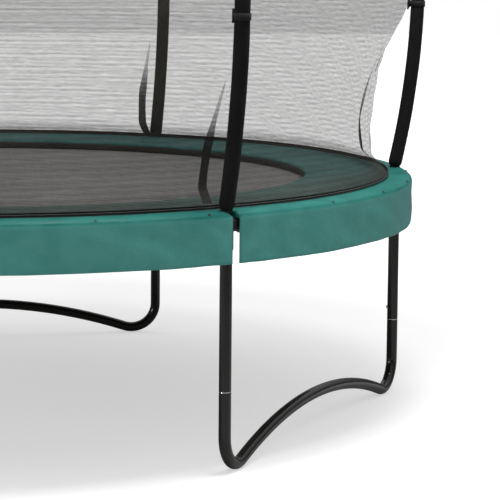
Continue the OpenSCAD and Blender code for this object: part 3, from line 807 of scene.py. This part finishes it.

# PVC-coated cloth: a fine pebble in the coating, faded in patches by the sun. The top and crown
# get a darker copy of the skirt's green, painted shade for how the light falls on them, and
# inside the hem a duller copy, painted shade from the net.
TOP_SHADE_GREENS = (0.006, 0.118, 0.101), (0.011, 0.146, 0.124)
SKIRT_GREENS = (0.062, 0.254, 0.228), (0.080, 0.292, 0.264)
SHADED_GREENS = (0.017, 0.062, 0.058), (0.030, 0.086, 0.081)
pvc, tree, shader = new_material("green_pvc", Specular_IOR_Level=0.12)
place = add(tree, "ShaderNodeTexCoord")
xyz = add(tree, "ShaderNodeSeparateXYZ", {"Vector": place.outputs["Object"]})
radius = math_node(tree, "SQRT", plus(tree, math_node(tree, "POWER", xyz.outputs["X"], 2),
                                           math_node(tree, "POWER", xyz.outputs["Y"], 2)), 0)
weather = use_group(tree, weathering, Blotch_Scale=3.2, Dust=0.02)
patches = add(tree, "ShaderNodeTexNoise", {"Vector": place.outputs["Object"]}, Scale=11.0, Detail=6.0)
# Inside the hem the green is duller: painted shade from the net.
inside = ramp(tree, radius, 1.443, 1.450, 1.0, 0.0)
# Above the skirt the green is darker: painted shade for how the light falls on the top and crown.
skirt = ramp(tree, xyz.outputs["Z"], 0.785, 0.797, 1.0, 0.0)
top_shade_green = mix_colour(tree, ramp(tree, patches.outputs["Fac"], 0.35, 0.65), *TOP_SHADE_GREENS)
skirt_green = mix_colour(tree, ramp(tree, patches.outputs["Fac"], 0.3, 0.7), *SKIRT_GREENS)
shaded_green = mix_colour(tree, ramp(tree, patches.outputs["Fac"], 0.3, 0.7), *SHADED_GREENS)
colour = mix_colour(tree, skirt, top_shade_green, skirt_green)
colour = mix_colour(tree, inside, colour, shaded_green)
colour = mix_colour(tree, times(tree, weather.outputs["Blotches"], 0.12), colour,
                    (0.088, 0.28, 0.25))
tree.links.new(mix_colour(tree, weather.outputs["Dust Mask"], colour, DUST), shader.inputs["Base Color"])
tree.links.new(ramp(tree, patches.outputs["Fac"], 0.3, 0.7, 0.42, 0.56), shader.inputs["Roughness"])
pebble = add(tree, "ShaderNodeTexVoronoi", {"Vector": place.outputs["Object"]}, Scale=650.0)
crinkle = add(tree, "ShaderNodeTexNoise", {"Vector": place.outputs["Object"]}, Scale=34.0, Detail=5.0,
              Distortion=0.7)
relief = plus(tree, times(tree, crinkle.outputs["Fac"], 6.0),
                   times(tree, pebble.outputs["Distance"], 0.3))
bump = add(tree, "ShaderNodeBump", {"Height": relief}, Strength=0.35, Distance=0.0008)
tree.links.new(bump.outputs["Normal"], shader.inputs["Normal"])
coat_with(pad_cover, pvc)
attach(pad_cover, "frame")
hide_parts("safety_pad")

# Pad flap: black tape sewn under the pad's inner edge. It hangs to the mat and hides the springs.
FLAP_LOW = 0.7730
tape = [(PAD_IN + 0.0006, PAD_LOW + 0.006), (PAD_IN + 0.0012, PAD_LOW), (PAD_IN + 0.0026, 0.778),
        (PAD_IN + 0.0040, FLAP_LOW)]
inward = [(r + 0.0008, z) for r, z in reversed(tape)]
pad_binding = ring_band("pad_binding", tape + inward, np.linspace(0, math.tau, 300, endpoint=False), PAD_IN)
coat_with(pad_binding, webbing)
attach(pad_binding, "frame")

# ---------------------------------------------------------------------------------------------
# Enclosure net: knitted black polyethylene mesh, sewn from six panels. It stands on a hem on the
# pad, bows inwards between the straps that tie it to the poles, and is slack between poles.
HEM_RADIUS = 1.451
HEM_HEIGHT = 0.014
NET_LOW = PAD_TOP + 0.0008 + HEM_HEIGHT
NET_HIGH = 2.464
ZIP_LEAN = 0.085
NET_ROWS, NET_COLUMNS = 110, 216


def share(z, low, high):
    return np.clip((z - low) / (high - low), 0, 1)


def net_gap(z):
    """How far the net hangs inside a pole's centre line."""
    low, middle, high = STRAP_HEIGHTS
    rise = share(z, PAD_TOP, low)
    below = 0.046 - 0.011 * rise + 0.086 * np.sin(math.pi * rise ** 0.85).clip(0) ** 0.8
    bows = np.sin(math.pi * share(z, low, middle)) + np.sin(math.pi * share(z, middle, high))
    above = 0.035 + 0.045 * bows
    return np.where(z < low, below, above)


def net_middle(z):
    """Radius of the net midway between two poles."""
    return HEM_RADIUS - 0.023 * share(z, NET_LOW, 0.870) - ZIP_LEAN * np.clip(z - 0.870, 0, None)


def net_radius(azimuth, z):
    """Radius of the net: pulled out at the poles, nearly straight between them."""
    bay = ((azimuth - FIRST_POLE) / POLE_STEP) % 1.0
    near_pole = (2 * bay - 1) ** 2
    plain = near_pole * (pole_radius(z) - net_gap(z)) + (1 - near_pole) * net_middle(z)
    tucked = share(z, NET_LOW, NET_LOW + 0.045) * (1 - share(z, 0.98, 1.25))
    return plain - 0.030 * tucked * share(np.abs(bay - 0.5), 0.05, 0.28)


def net_ripple(azimuth, z):
    """Soft slack folds, largest beside the poles and near the hem, and none along the zip."""
    bay = ((azimuth - FIRST_POLE) / POLE_STEP) % 1.0
    beside = np.exp(-np.minimum(bay, 1 - bay) / 0.16)
    calm = np.clip(np.abs(np.sin(azimuth / 2)) / 0.06, 0, 1)
    rise = share(z, NET_LOW, NET_LOW + 0.12)
    slack = 0.0035 * np.sin(9 * z + 17 * azimuth) + 0.0025 * np.sin(23 * z - 31 * azimuth + 1.3)
    pulls = 0.005 * beside * np.sin(34 * z + 60 * bay)
    return rise * calm * (slack + pulls) * (1 - share(z, NET_HIGH - 0.05, NET_HIGH))


net_heights = NET_LOW - 0.004 + (NET_HIGH - NET_LOW + 0.004) * np.linspace(0, 1, NET_ROWS) ** 1.25
net_turns = np.linspace(0, math.tau, NET_COLUMNS, endpoint=False)
points = []
for z in net_heights:
    r = net_radius(net_turns, np.full(NET_COLUMNS, z)) + net_ripple(net_turns, z)
    points += list(around(r, net_turns, np.full(NET_COLUMNS, z)))
enclosure_net = mesh_piece("enclosure_net", points, grid_faces(NET_ROWS, NET_COLUMNS, close_cols=True))
layer = enclosure_net.data.uv_layers.new(name="cloth")
for face in enclosure_net.data.polygons:
    turns = [v % NET_COLUMNS for v in face.vertices]
    wraps = max(turns) - min(turns) > NET_COLUMNS / 2
    for loop, vertex, turn in zip(face.loop_indices, face.vertices, turns):
        around_at = (turn + (NET_COLUMNS if wraps and turn == 0 else 0)) / NET_COLUMNS
        layer.data[loop].uv = (around_at * math.tau * HEM_RADIUS, net_heights[vertex // NET_COLUMNS])

# Knit: rows of open stitches. A thread pattern sets how much of the light is stopped, and longer
# streaks show where the rows are pulled closer together. The shares weigh long streaks, short
# streaks and rows; turns are in radians a metre.
KNIT_STREAKS = ((14.0, 120.0, 1.0), (34.0, 270.0, 1.0))
KNIT_ROW_TURN, KNIT_WANDER = 350.0, 1.6
KNIT_SHARES = (0.30, 0.42, 0.30)
THREAD_TURNS = (2100.0, 1500.0)
NET_THREAD, NET_THREAD_DARK = (0.052, 0.047, 0.040), (0.035, 0.032, 0.027)
knit, knit_in, knit_out = shader_group("open_knit", {"Cover": 0.27, "Streaks": 0.14, "Threads": 0.2},
                                       ["Cover", "Streak"])
knit_at = add(knit, "ShaderNodeUVMap", uv_map="cloth")
rows_at = []
for stretch in KNIT_STREAKS:
    turned = add(knit, "ShaderNodeMapping", {"Vector": knit_at.outputs["UV"]})
    turned.inputs["Scale"].default_value = stretch
    streak = add(knit, "ShaderNodeTexNoise", {"Vector": turned.outputs["Vector"]}, Scale=1.0, Detail=2.0)
    rows_at.append(ramp(knit, streak.outputs["Fac"], 0.30, 0.70, -0.5, 0.5))
knit_xy = add(knit, "ShaderNodeSeparateXYZ", {"Vector": knit_at.outputs["UV"]})
wander = times(knit, rows_at[0], KNIT_WANDER)
row_phase = plus(knit, times(knit, knit_xy.outputs["Y"], KNIT_ROW_TURN), wander)
rows_of = times(knit, math_node(knit, "SINE", row_phase, 0), KNIT_SHARES[2])
streak = plus(knit, times(knit, rows_at[0], KNIT_SHARES[0]),
                   times(knit, rows_at[1], KNIT_SHARES[1]))
streak = plus(knit, streak, rows_of)
across = math_node(knit, "SINE", times(knit, knit_xy.outputs["X"], THREAD_TURNS[0]), 0)
upright = math_node(knit, "SINE", times(knit, knit_xy.outputs["Y"], THREAD_TURNS[1]), 0)
thread_at = math_node(knit, "MAXIMUM", across, upright)
cover = plus(knit, knit_in.outputs["Cover"],
                  times(knit, streak, knit_in.outputs["Streaks"]))
cover = plus(knit, cover, times(
    knit, math_node(knit, "SUBTRACT", thread_at, 0.4), knit_in.outputs["Threads"]))
knit.links.new(cover, knit_out.inputs["Cover"])
knit.links.new(streak, knit_out.inputs["Streak"])


def net_material(name, cover, streaks, threads, thick_low):
    """Open knit; thick_low is the height under which folds make it denser."""
    material, tree, shader = new_material(name, Roughness=0.9, Specular_IOR_Level=0.1)
    weave = use_group(tree, knit, Cover=cover, Streaks=streaks, Threads=threads)
    place = add(tree, "ShaderNodeTexCoord")
    height = add(tree, "ShaderNodeSeparateXYZ", {"Vector": place.outputs["Object"]})
    bunched = ramp(tree, height.outputs["Z"], thick_low, thick_low + 0.05, 0.22, 0.0)
    alpha = plus(tree, weave.outputs["Cover"], bunched)
    alpha = ramp(tree, alpha, 0.02, 0.98, 0.02, 0.98)
    tree.links.new(alpha, shader.inputs["Alpha"])
    thread = mix_colour(tree, ramp(tree, weave.outputs["Streak"], -0.5, 0.5), NET_THREAD, NET_THREAD_DARK)
    tree.links.new(thread, shader.inputs["Base Color"])
    return material


net_knit = net_material("net_knit", 0.405, 0.14, 0.18, 0.825)
coat_with(enclosure_net, net_knit)
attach(enclosure_net, "frame")
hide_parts(*[f"net_panel_{k}" for k in range(1, 7)])

# Darts: a strip of the net folded double and sewn down inside each pole, which takes up the
# slack. It is wide at the hem and runs out in a point a little under the strap.
DART_LOW, DART_FULL, DART_TIP = 0.822, 1.000, 1.190
DART_WIDTH = 0.032
DART_LEANS = ((-0.018, 0.048), (0.030, 0.024), (0.004, -0.002), (-0.008, 0.012), (0.010, -0.014),
              (-0.006, -0.018))
dart_cloth, tree, shader = new_material("dart_cloth", Roughness=0.9, Specular_IOR_Level=0.1)
weave = use_group(tree, knit, Cover=0.86, Streaks=0.12, Threads=0.15)
place = add(tree, "ShaderNodeTexCoord")
height = add(tree, "ShaderNodeSeparateXYZ", {"Vector": place.outputs["Object"]})
thinner = ramp(tree, height.outputs["Z"], 0.93, 1.15, 0.12, -0.42)
alpha = ramp(tree, plus(tree, weave.outputs["Cover"], thinner), 0, 1)
tree.links.new(alpha, shader.inputs["Alpha"])
# The dart's threads are darker than the net's own: painted shade in the fold. Its denser cover is the doubled
# net.
tree.links.new(mix_colour(tree, ramp(tree, weave.outputs["Streak"], -0.5, 0.5), (0.014, 0.014, 0.013),
                          (0.026, 0.025, 0.024)), shader.inputs["Base Color"])
net_trim = []
for number in range(1, 7):
    azimuth = FIRST_POLE + (number - 1) * POLE_STEP
    rows, cols = 44, 7
    points, uv = [], []
    at_hem, at_tip = DART_LEANS[number - 1]
    for z in np.linspace(DART_LOW, DART_TIP, rows):
        narrow = 1 - 0.92 * float(share(z, DART_FULL, DART_TIP))
        drift = at_hem + (at_tip - at_hem) * float(share(z, DART_LOW, DART_TIP)) ** 0.8
        base = float(net_radius(np.array(azimuth + drift / HEM_RADIUS), np.array(z))) - 0.0045
        for across in np.linspace(-1, 1, cols):
            fold = 0.003 * (1 - across ** 2) + 0.0015 * math.sin(40 * z + 2 * across + number)
            offset = drift + across * narrow * DART_WIDTH / 2 + 0.0025 * math.sin(13 * z + number)
            points.append(around(np.array(base - fold), azimuth + offset / base, np.array(z)))
            uv.append((offset, z))
    dart = mesh_piece(f"net_dart_{number}", points, grid_faces(rows, cols), uv=uv)
    coat_with(dart, dart_cloth)
    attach(dart, "frame")
    if number == 1:
        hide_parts("net_darts")
    net_trim.append(dart)

# Hem: the net's lower edge in a folded black band with a cord in each fold, sewn to the pad.
hem_low = PAD_TOP + 0.0008
bead_r = 0.0021
hem_section = []
for centre, first, last in ((hem_low + bead_r, -90, 70), (hem_low + HEM_HEIGHT - bead_r, -70, 90)):
    hem_section += [(HEM_RADIUS + bead_r * math.cos(a), centre + bead_r * math.sin(a))
                    for a in np.radians(np.linspace(first, last, 5))]
hem_section += [(2 * HEM_RADIUS - r, z) for r, z in reversed(hem_section)]
hem_angles = np.linspace(0, math.tau, 360, endpoint=False)
net_hem = ring_band("net_hem_band", hem_section, hem_angles, HEM_RADIUS)
coat_with(net_hem, webbing)
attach(net_hem, "frame")
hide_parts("net_hem")
stitch = bead("stitch", (-0.0028, -HEM_RADIUS - 0.0018, hem_low + HEM_HEIGHT / 2 - 0.0006),
              (0.0028, -HEM_RADIUS - 0.0004, hem_low + HEM_HEIGHT / 2 + 0.0006))
hem_stitches = copy_in_ring(stitch, "hem_stitches", 1150, 0.0, math.tau / 1150, thread)
discard(stitch)
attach(hem_stitches, "frame")
net_trim += [net_hem, hem_stitches]

# Top band: wide webbing that stiffens the net's upper edge.
rows = [(z, d) for z, d in ((NET_HIGH - 0.030, -0.0016), (NET_HIGH, -0.0016), (NET_HIGH + 0.0012, 0.0),
                            (NET_HIGH, 0.0016), (NET_HIGH - 0.030, 0.0016))]
band_turns = np.linspace(0, math.tau, 360, endpoint=False)
points, uv = [], []
for row, (z, offset) in enumerate(rows):
    r = net_radius(band_turns, np.full(360, z)) + offset
    points += list(around(r, band_turns, np.full(360, z)))
    uv += [(turn * HEM_RADIUS, z + 0.04 * (row > 2)) for turn in band_turns]
top_band = face_out(mesh_piece("net_top_webbing", points,
                               grid_faces(len(rows), 360, close_rows=True, close_cols=True), uv=uv))
coat_with(top_band, webbing)
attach(top_band, "frame")
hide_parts("net_top_band")
net_trim.append(top_band)

# ---------------------------------------------------------------------------------------------
# Pole straps: a webbing loop round each sleeve at three heights, with a tapered tab that is sewn
# flat against the net.
LOOP_RADIUS = SLEEVE_RADIUS + 0.0004
LOOP_HALF = 0.0105


def on_pole(azimuth, z, local):
    """Points given in a pole's own axes (outwards, sideways, along) moved to that pole."""
    lean = math.asin((z - POLE_PEAK[1]) / POLE_BEND)
    frame_of = (
        Matrix.Rotation(azimuth - math.pi / 2, 4, "Z")
        @ Matrix.Translation((float(pole_radius(z)), 0, z))
        @ Matrix.Rotation(-lean, 4, "Y")
    )
    return [tuple(frame_of @ Vector(p)) for p in local]


def strap_points(reach):
    """The loop as a ring of flat links, then the tab from the loop to the net, as two grids."""
    loop, tab = [], []
    sides = 36
    for a in np.linspace(0, math.tau, sides, endpoint=False):
        for r, z in ((0, -1), (0.0016, -0.96), (0.0016, 0.96), (0, 1)):
            loop.append(((LOOP_RADIUS + r) * math.cos(a), (LOOP_RADIUS + r) * math.sin(a), z * LOOP_HALF))
    steps = 8
    for k in range(steps + 1):
        t = k / steps
        x = -LOOP_RADIUS + 0.0005 - t * (reach - LOOP_RADIUS)
        half_height = LOOP_HALF + (0.0215 - LOOP_HALF) * t ** 1.5
        for y, z in ((-0.0011, -1), (-0.0011, 1), (0.0011, 1), (0.0011, -1)):
            tab.append((x, y + 0.0008 * math.sin(4 * t), z * half_height))
    patch = []
    for y, z in ((-0.012, -0.0215), (0.012, -0.0215), (0.012, 0.0215), (-0.012, 0.0215)):
        patch += [(-reach - 0.0006, y, z), (-reach + 0.0008, y, z)]
    return loop, tab, patch, sides, steps + 1


for number in range(1, 7):
    azimuth = FIRST_POLE + (number - 1) * POLE_STEP
    points, faces, uv = [], [], []
    for z in STRAP_HEIGHTS:
        lean = math.asin((z - POLE_PEAK[1]) / POLE_BEND)
        loop, tab, patch, sides, steps = strap_points(0.0345 * math.cos(lean))
        first = len(points)
        points += on_pole(azimuth, z, loop)
        faces += grid_faces(sides, 4, close_rows=True, close_cols=True, first=first)
        uv += [(LOOP_RADIUS * math.atan2(p[1], p[0]), p[2]) for p in loop]
        first = len(points)
        points += on_pole(azimuth, z, tab)
        faces += grid_faces(steps, 4, close_cols=True, first=first)
        faces += [tuple(first + k for k in range(4)), tuple(first + (steps - 1) * 4 + k for k in range(4))]
        uv += [(p[0], p[2]) for p in tab]
        first = len(points)
        points += on_pole(azimuth, z, patch)
        faces += grid_faces(4, 2, close_rows=True, first=first)
        faces += [tuple(first + 2 * k for k in range(4)), tuple(first + 2 * k + 1 for k in range(4))]
        uv += [(p[1], p[2]) for p in patch]
    strap = face_out(mesh_piece(f"pole_straps_{number}", points, faces, uv=uv))
    coat_with(strap, webbing)
    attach(strap, "frame")
    if number == 1:
        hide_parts("net_straps")
    net_trim.append(strap)

# Eyelets: small black rings punched through the pad's crown, where the net's cords go down to
# the rail.
EYELET_TURNS = (-3.0, 16.8, 30.0, 43.2)
crown_turn = math.radians(52)
eyelet_at = Vector((0, -(PAD_OUT - CROWN + CROWN * math.cos(crown_turn)),
                    PAD_TOP - CROWN + CROWN * math.sin(crown_turn)))
eyelet_out = Vector((0, -math.cos(crown_turn), math.sin(crown_turn)))
eyelet_side = Vector((1, 0, 0))
eyelet_up = eyelet_out.cross(eyelet_side)
eyelet_path = []
for a in np.linspace(0, math.tau, 16, endpoint=False):
    rim = math.cos(a) * eyelet_side + math.sin(a) * eyelet_up
    eyelet_path.append(eyelet_at + eyelet_out * 0.0006 + 0.0032 * rim)
eyelet = sweep("eyelet", eyelet_path, 0.0013, 8, closed=True)
for number, degrees in enumerate(EYELET_TURNS, 1):
    eyelets = copy_in_ring(eyelet, f"pad_eyelets_{number}", POLE_COUNT, FIRST_POLE + math.radians(degrees),
                           POLE_STEP, cap_plastic)
    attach(eyelets, "frame")
discard(eyelet)

# ---------------------------------------------------------------------------------------------
# Entrance: a straight zip up the middle of the front panel. Two strips of woven tape carry the
# metal teeth; the slider and its pull tab are die-cast zinc.
ZIP_LOW, ZIP_HIGH = 0.900, 2.300
lean = math.atan(ZIP_LEAN)
zip_foot = (0, -float(net_middle(np.array(ZIP_LOW))), ZIP_LOW)
zip_place = Matrix.Translation(zip_foot) @ Matrix.Rotation(-lean, 4, "X")
zip_length = (ZIP_HIGH - ZIP_LOW) / math.cos(lean)
points, faces, uv = [], [], []
rows = 80
for side in (-1, 1):
    first = len(points)
    for t in np.linspace(0, 1, rows):
        for x, y in ((0.0012, -0.0019), (0.0148, -0.0017), (0.0148, -0.0024), (0.0012, -0.0027)):
            points.append(tuple(zip_place @ Vector((side * x, y - 0.0006, t * zip_length))))
            uv.append((t * zip_length, x))
    faces += grid_faces(rows, 4, close_cols=True, first=first)
    faces += [tuple(first + k for k in range(4)), tuple(first + (rows - 1) * 4 + k for k in range(4))]
zip_tapes = face_out(mesh_piece("zip_tapes", points, faces, uv=uv))
coat_with(zip_tapes, webbing)
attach(zip_tapes, "frame")
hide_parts("zip_tape")
net_trim.append(zip_tapes)

line_tree = bpy.data.node_groups.new("copies_in_a_line", "GeometryNodeTree")
line_tree.interface.new_socket("Shape", in_out="INPUT", socket_type="NodeSocketGeometry")
for label, kind in (("Count", "NodeSocketInt"), ("Start", "NodeSocketVector"), ("Offset", "NodeSocketVector"),
                    ("Finish", "NodeSocketMaterial")):
    line_tree.interface.new_socket(label, in_out="INPUT", socket_type=kind)
line_tree.interface.new_socket("Line", in_out="OUTPUT", socket_type="NodeSocketGeometry")
line_in = line_tree.nodes.new("NodeGroupInput").outputs
line = add(line_tree, "GeometryNodeMeshLine",
           {"Count": line_in["Count"], "Start Location": line_in["Start"], "Offset": line_in["Offset"]})
copies = add(line_tree, "GeometryNodeInstanceOnPoints",
             {"Points": line.outputs[0], "Instance": line_in["Shape"]})
real = add(line_tree, "GeometryNodeRealizeInstances", {"Geometry": copies.outputs[0]})
finished = add(line_tree, "GeometryNodeSetMaterial",
               {"Geometry": real.outputs[0], "Material": line_in["Finish"]})
line_out = line_tree.nodes.new("NodeGroupOutput")
line_tree.links.new(finished.outputs[0], line_out.inputs[0])

tooth = bead("tooth", (-0.0027, -0.0014, -0.0007), (0.0027, 0.0004, 0.0007))
zip_metal, tree, shader = new_material("zip_metal", Metallic=1.0)
weather = use_group(tree, weathering, Blotch_Scale=60.0, Dust=0.1)
tree.links.new(mix_colour(tree, weather.outputs["Blotches"], (0.30, 0.30, 0.305), (0.20, 0.198, 0.195)),
               shader.inputs["Base Color"])
tree.links.new(ramp(tree, weather.outputs["Blotches"], 0, 1, 0.3, 0.48), shader.inputs["Roughness"])
TEETH = 380
start = zip_place @ Vector((0, -0.0038, 0.006))
along = (zip_place.to_3x3() @ Vector((0, 0, 1))) * ((zip_length - 0.012) / (TEETH - 1))
values = {"Count": TEETH, "Start": start, "Offset": along, "Finish": zip_metal}
modifier = tooth.modifiers.new("teeth", "NODES")
modifier.node_group = line_tree
for socket in line_tree.interface.items_tree:
    if socket.in_out == "INPUT" and socket.name in values:
        modifier[socket.identifier] = values[socket.name]
evaluated = tooth.evaluated_get(bpy.context.evaluated_depsgraph_get())
zip_teeth = bpy.data.objects.new("zip_teeth", bpy.data.meshes.new_from_object(evaluated))
bpy.context.scene.collection.objects.link(zip_teeth)
discard(tooth)
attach(zip_teeth, "frame")
net_trim.append(zip_teeth)
coat_with(cad["zip_slider"], zip_metal)
coat_with(cad["zip_pull"], zip_metal)

# ---------------------------------------------------------------------------------------------
# Studio: a white floor, a white surround, a soft light overhead, a large low one from the left
# and two upright strips. Only the camera sees the glow of floor and surround, which leaves them
# white; the floor glows less inside SHADE_RADII, measured from SHADE_MIDDLE.
FLOOR_GLOW = (0.53, 0.98)
SHADE_MIDDLE = (-0.31, 0.37, 0)
SHADE_RADII = (2.35, 3.6)
SKY_GLOW = (0.08, 0.75)
LAMPS = (
    ("overhead", (1.12, -1.34, 3.7), (0.2, -0.2, 0), (1.2, 1.2), 122),
    ("left_wall", (-6.5, -3.2, 2.0), (0, 0, 0.6), (2.2, 2.2), 200),
    ("left_strip", (-3.2, -6.4, 1.1), (0.7, -1.0, 0.5), (0.25, 2.4), 9),
    ("right_strip", (5.6, -4.6, 1.1), (1.2, -0.5, 0.5), (0.7, 2.4), 6),
)

floor_mesh = bpy.data.meshes.new("floor")
floor_mesh.from_pydata([(-30, -30, 0), (30, -30, 0), (30, 30, 0), (-30, 30, 0)], [], [(0, 1, 2, 3)])
floor = bpy.data.objects.new("floor", floor_mesh)
bpy.context.scene.collection.objects.link(floor)
floor_white, tree, shader = new_material("floor_white", Roughness=0.9, Specular_IOR_Level=0.1)
place = add(tree, "ShaderNodeTexCoord")
mottle = add(tree, "ShaderNodeTexNoise", {"Vector": place.outputs["Object"]}, Scale=0.6)
tree.links.new(mix_colour(tree, mottle.outputs["Fac"], (0.50, 0.50, 0.50), (0.52, 0.52, 0.52)),
               shader.inputs["Base Color"])
light_path = add(tree, "ShaderNodeLightPath")
from_middle = add(tree, "ShaderNodeVectorMath", {"Vector": place.outputs["Object"]}, operation="DISTANCE")
from_middle.inputs[1].default_value = SHADE_MIDDLE
glow = ramp(tree, from_middle.outputs["Value"], *SHADE_RADII, *FLOOR_GLOW)
tree.links.new(times(tree, glow, light_path.outputs["Is Camera Ray"]),
               shader.inputs["Emission Strength"])
shader.inputs["Emission Color"].default_value = (1, 1, 1, 1)
coat_with(floor, floor_white)

world = bpy.data.worlds.new("studio")
bpy.context.scene.world = world
world.use_nodes = True
tree = world.node_tree
background = tree.nodes["Background"]
light_path = add(tree, "ShaderNodeLightPath")
direction = add(tree, "ShaderNodeTexCoord")
upness = add(tree, "ShaderNodeSeparateXYZ", {"Vector": direction.outputs["Generated"]})
glow = ramp(tree, upness.outputs["Z"], 0.0, 0.7, *SKY_GLOW)
strength = math_node(tree, "MAXIMUM", glow, light_path.outputs["Is Camera Ray"])
tree.links.new(strength, background.inputs["Strength"])
background.inputs["Color"].default_value = (1, 1, 1, 1)

for name, at, towards, size, power in LAMPS:
    data = bpy.data.lights.new(name, "AREA")
    data.shape = "RECTANGLE"
    data.size, data.size_y = size
    data.energy = power
    lamp = bpy.data.objects.new(name, data)
    lamp.location = at
    lamp.rotation_mode = "QUATERNION"
    lamp.rotation_quaternion = (Vector(towards) - Vector(at)).to_track_quat("-Z", "Y")
    bpy.context.scene.collection.objects.link(lamp)

bpy.context.scene.view_settings.view_transform = "Standard"
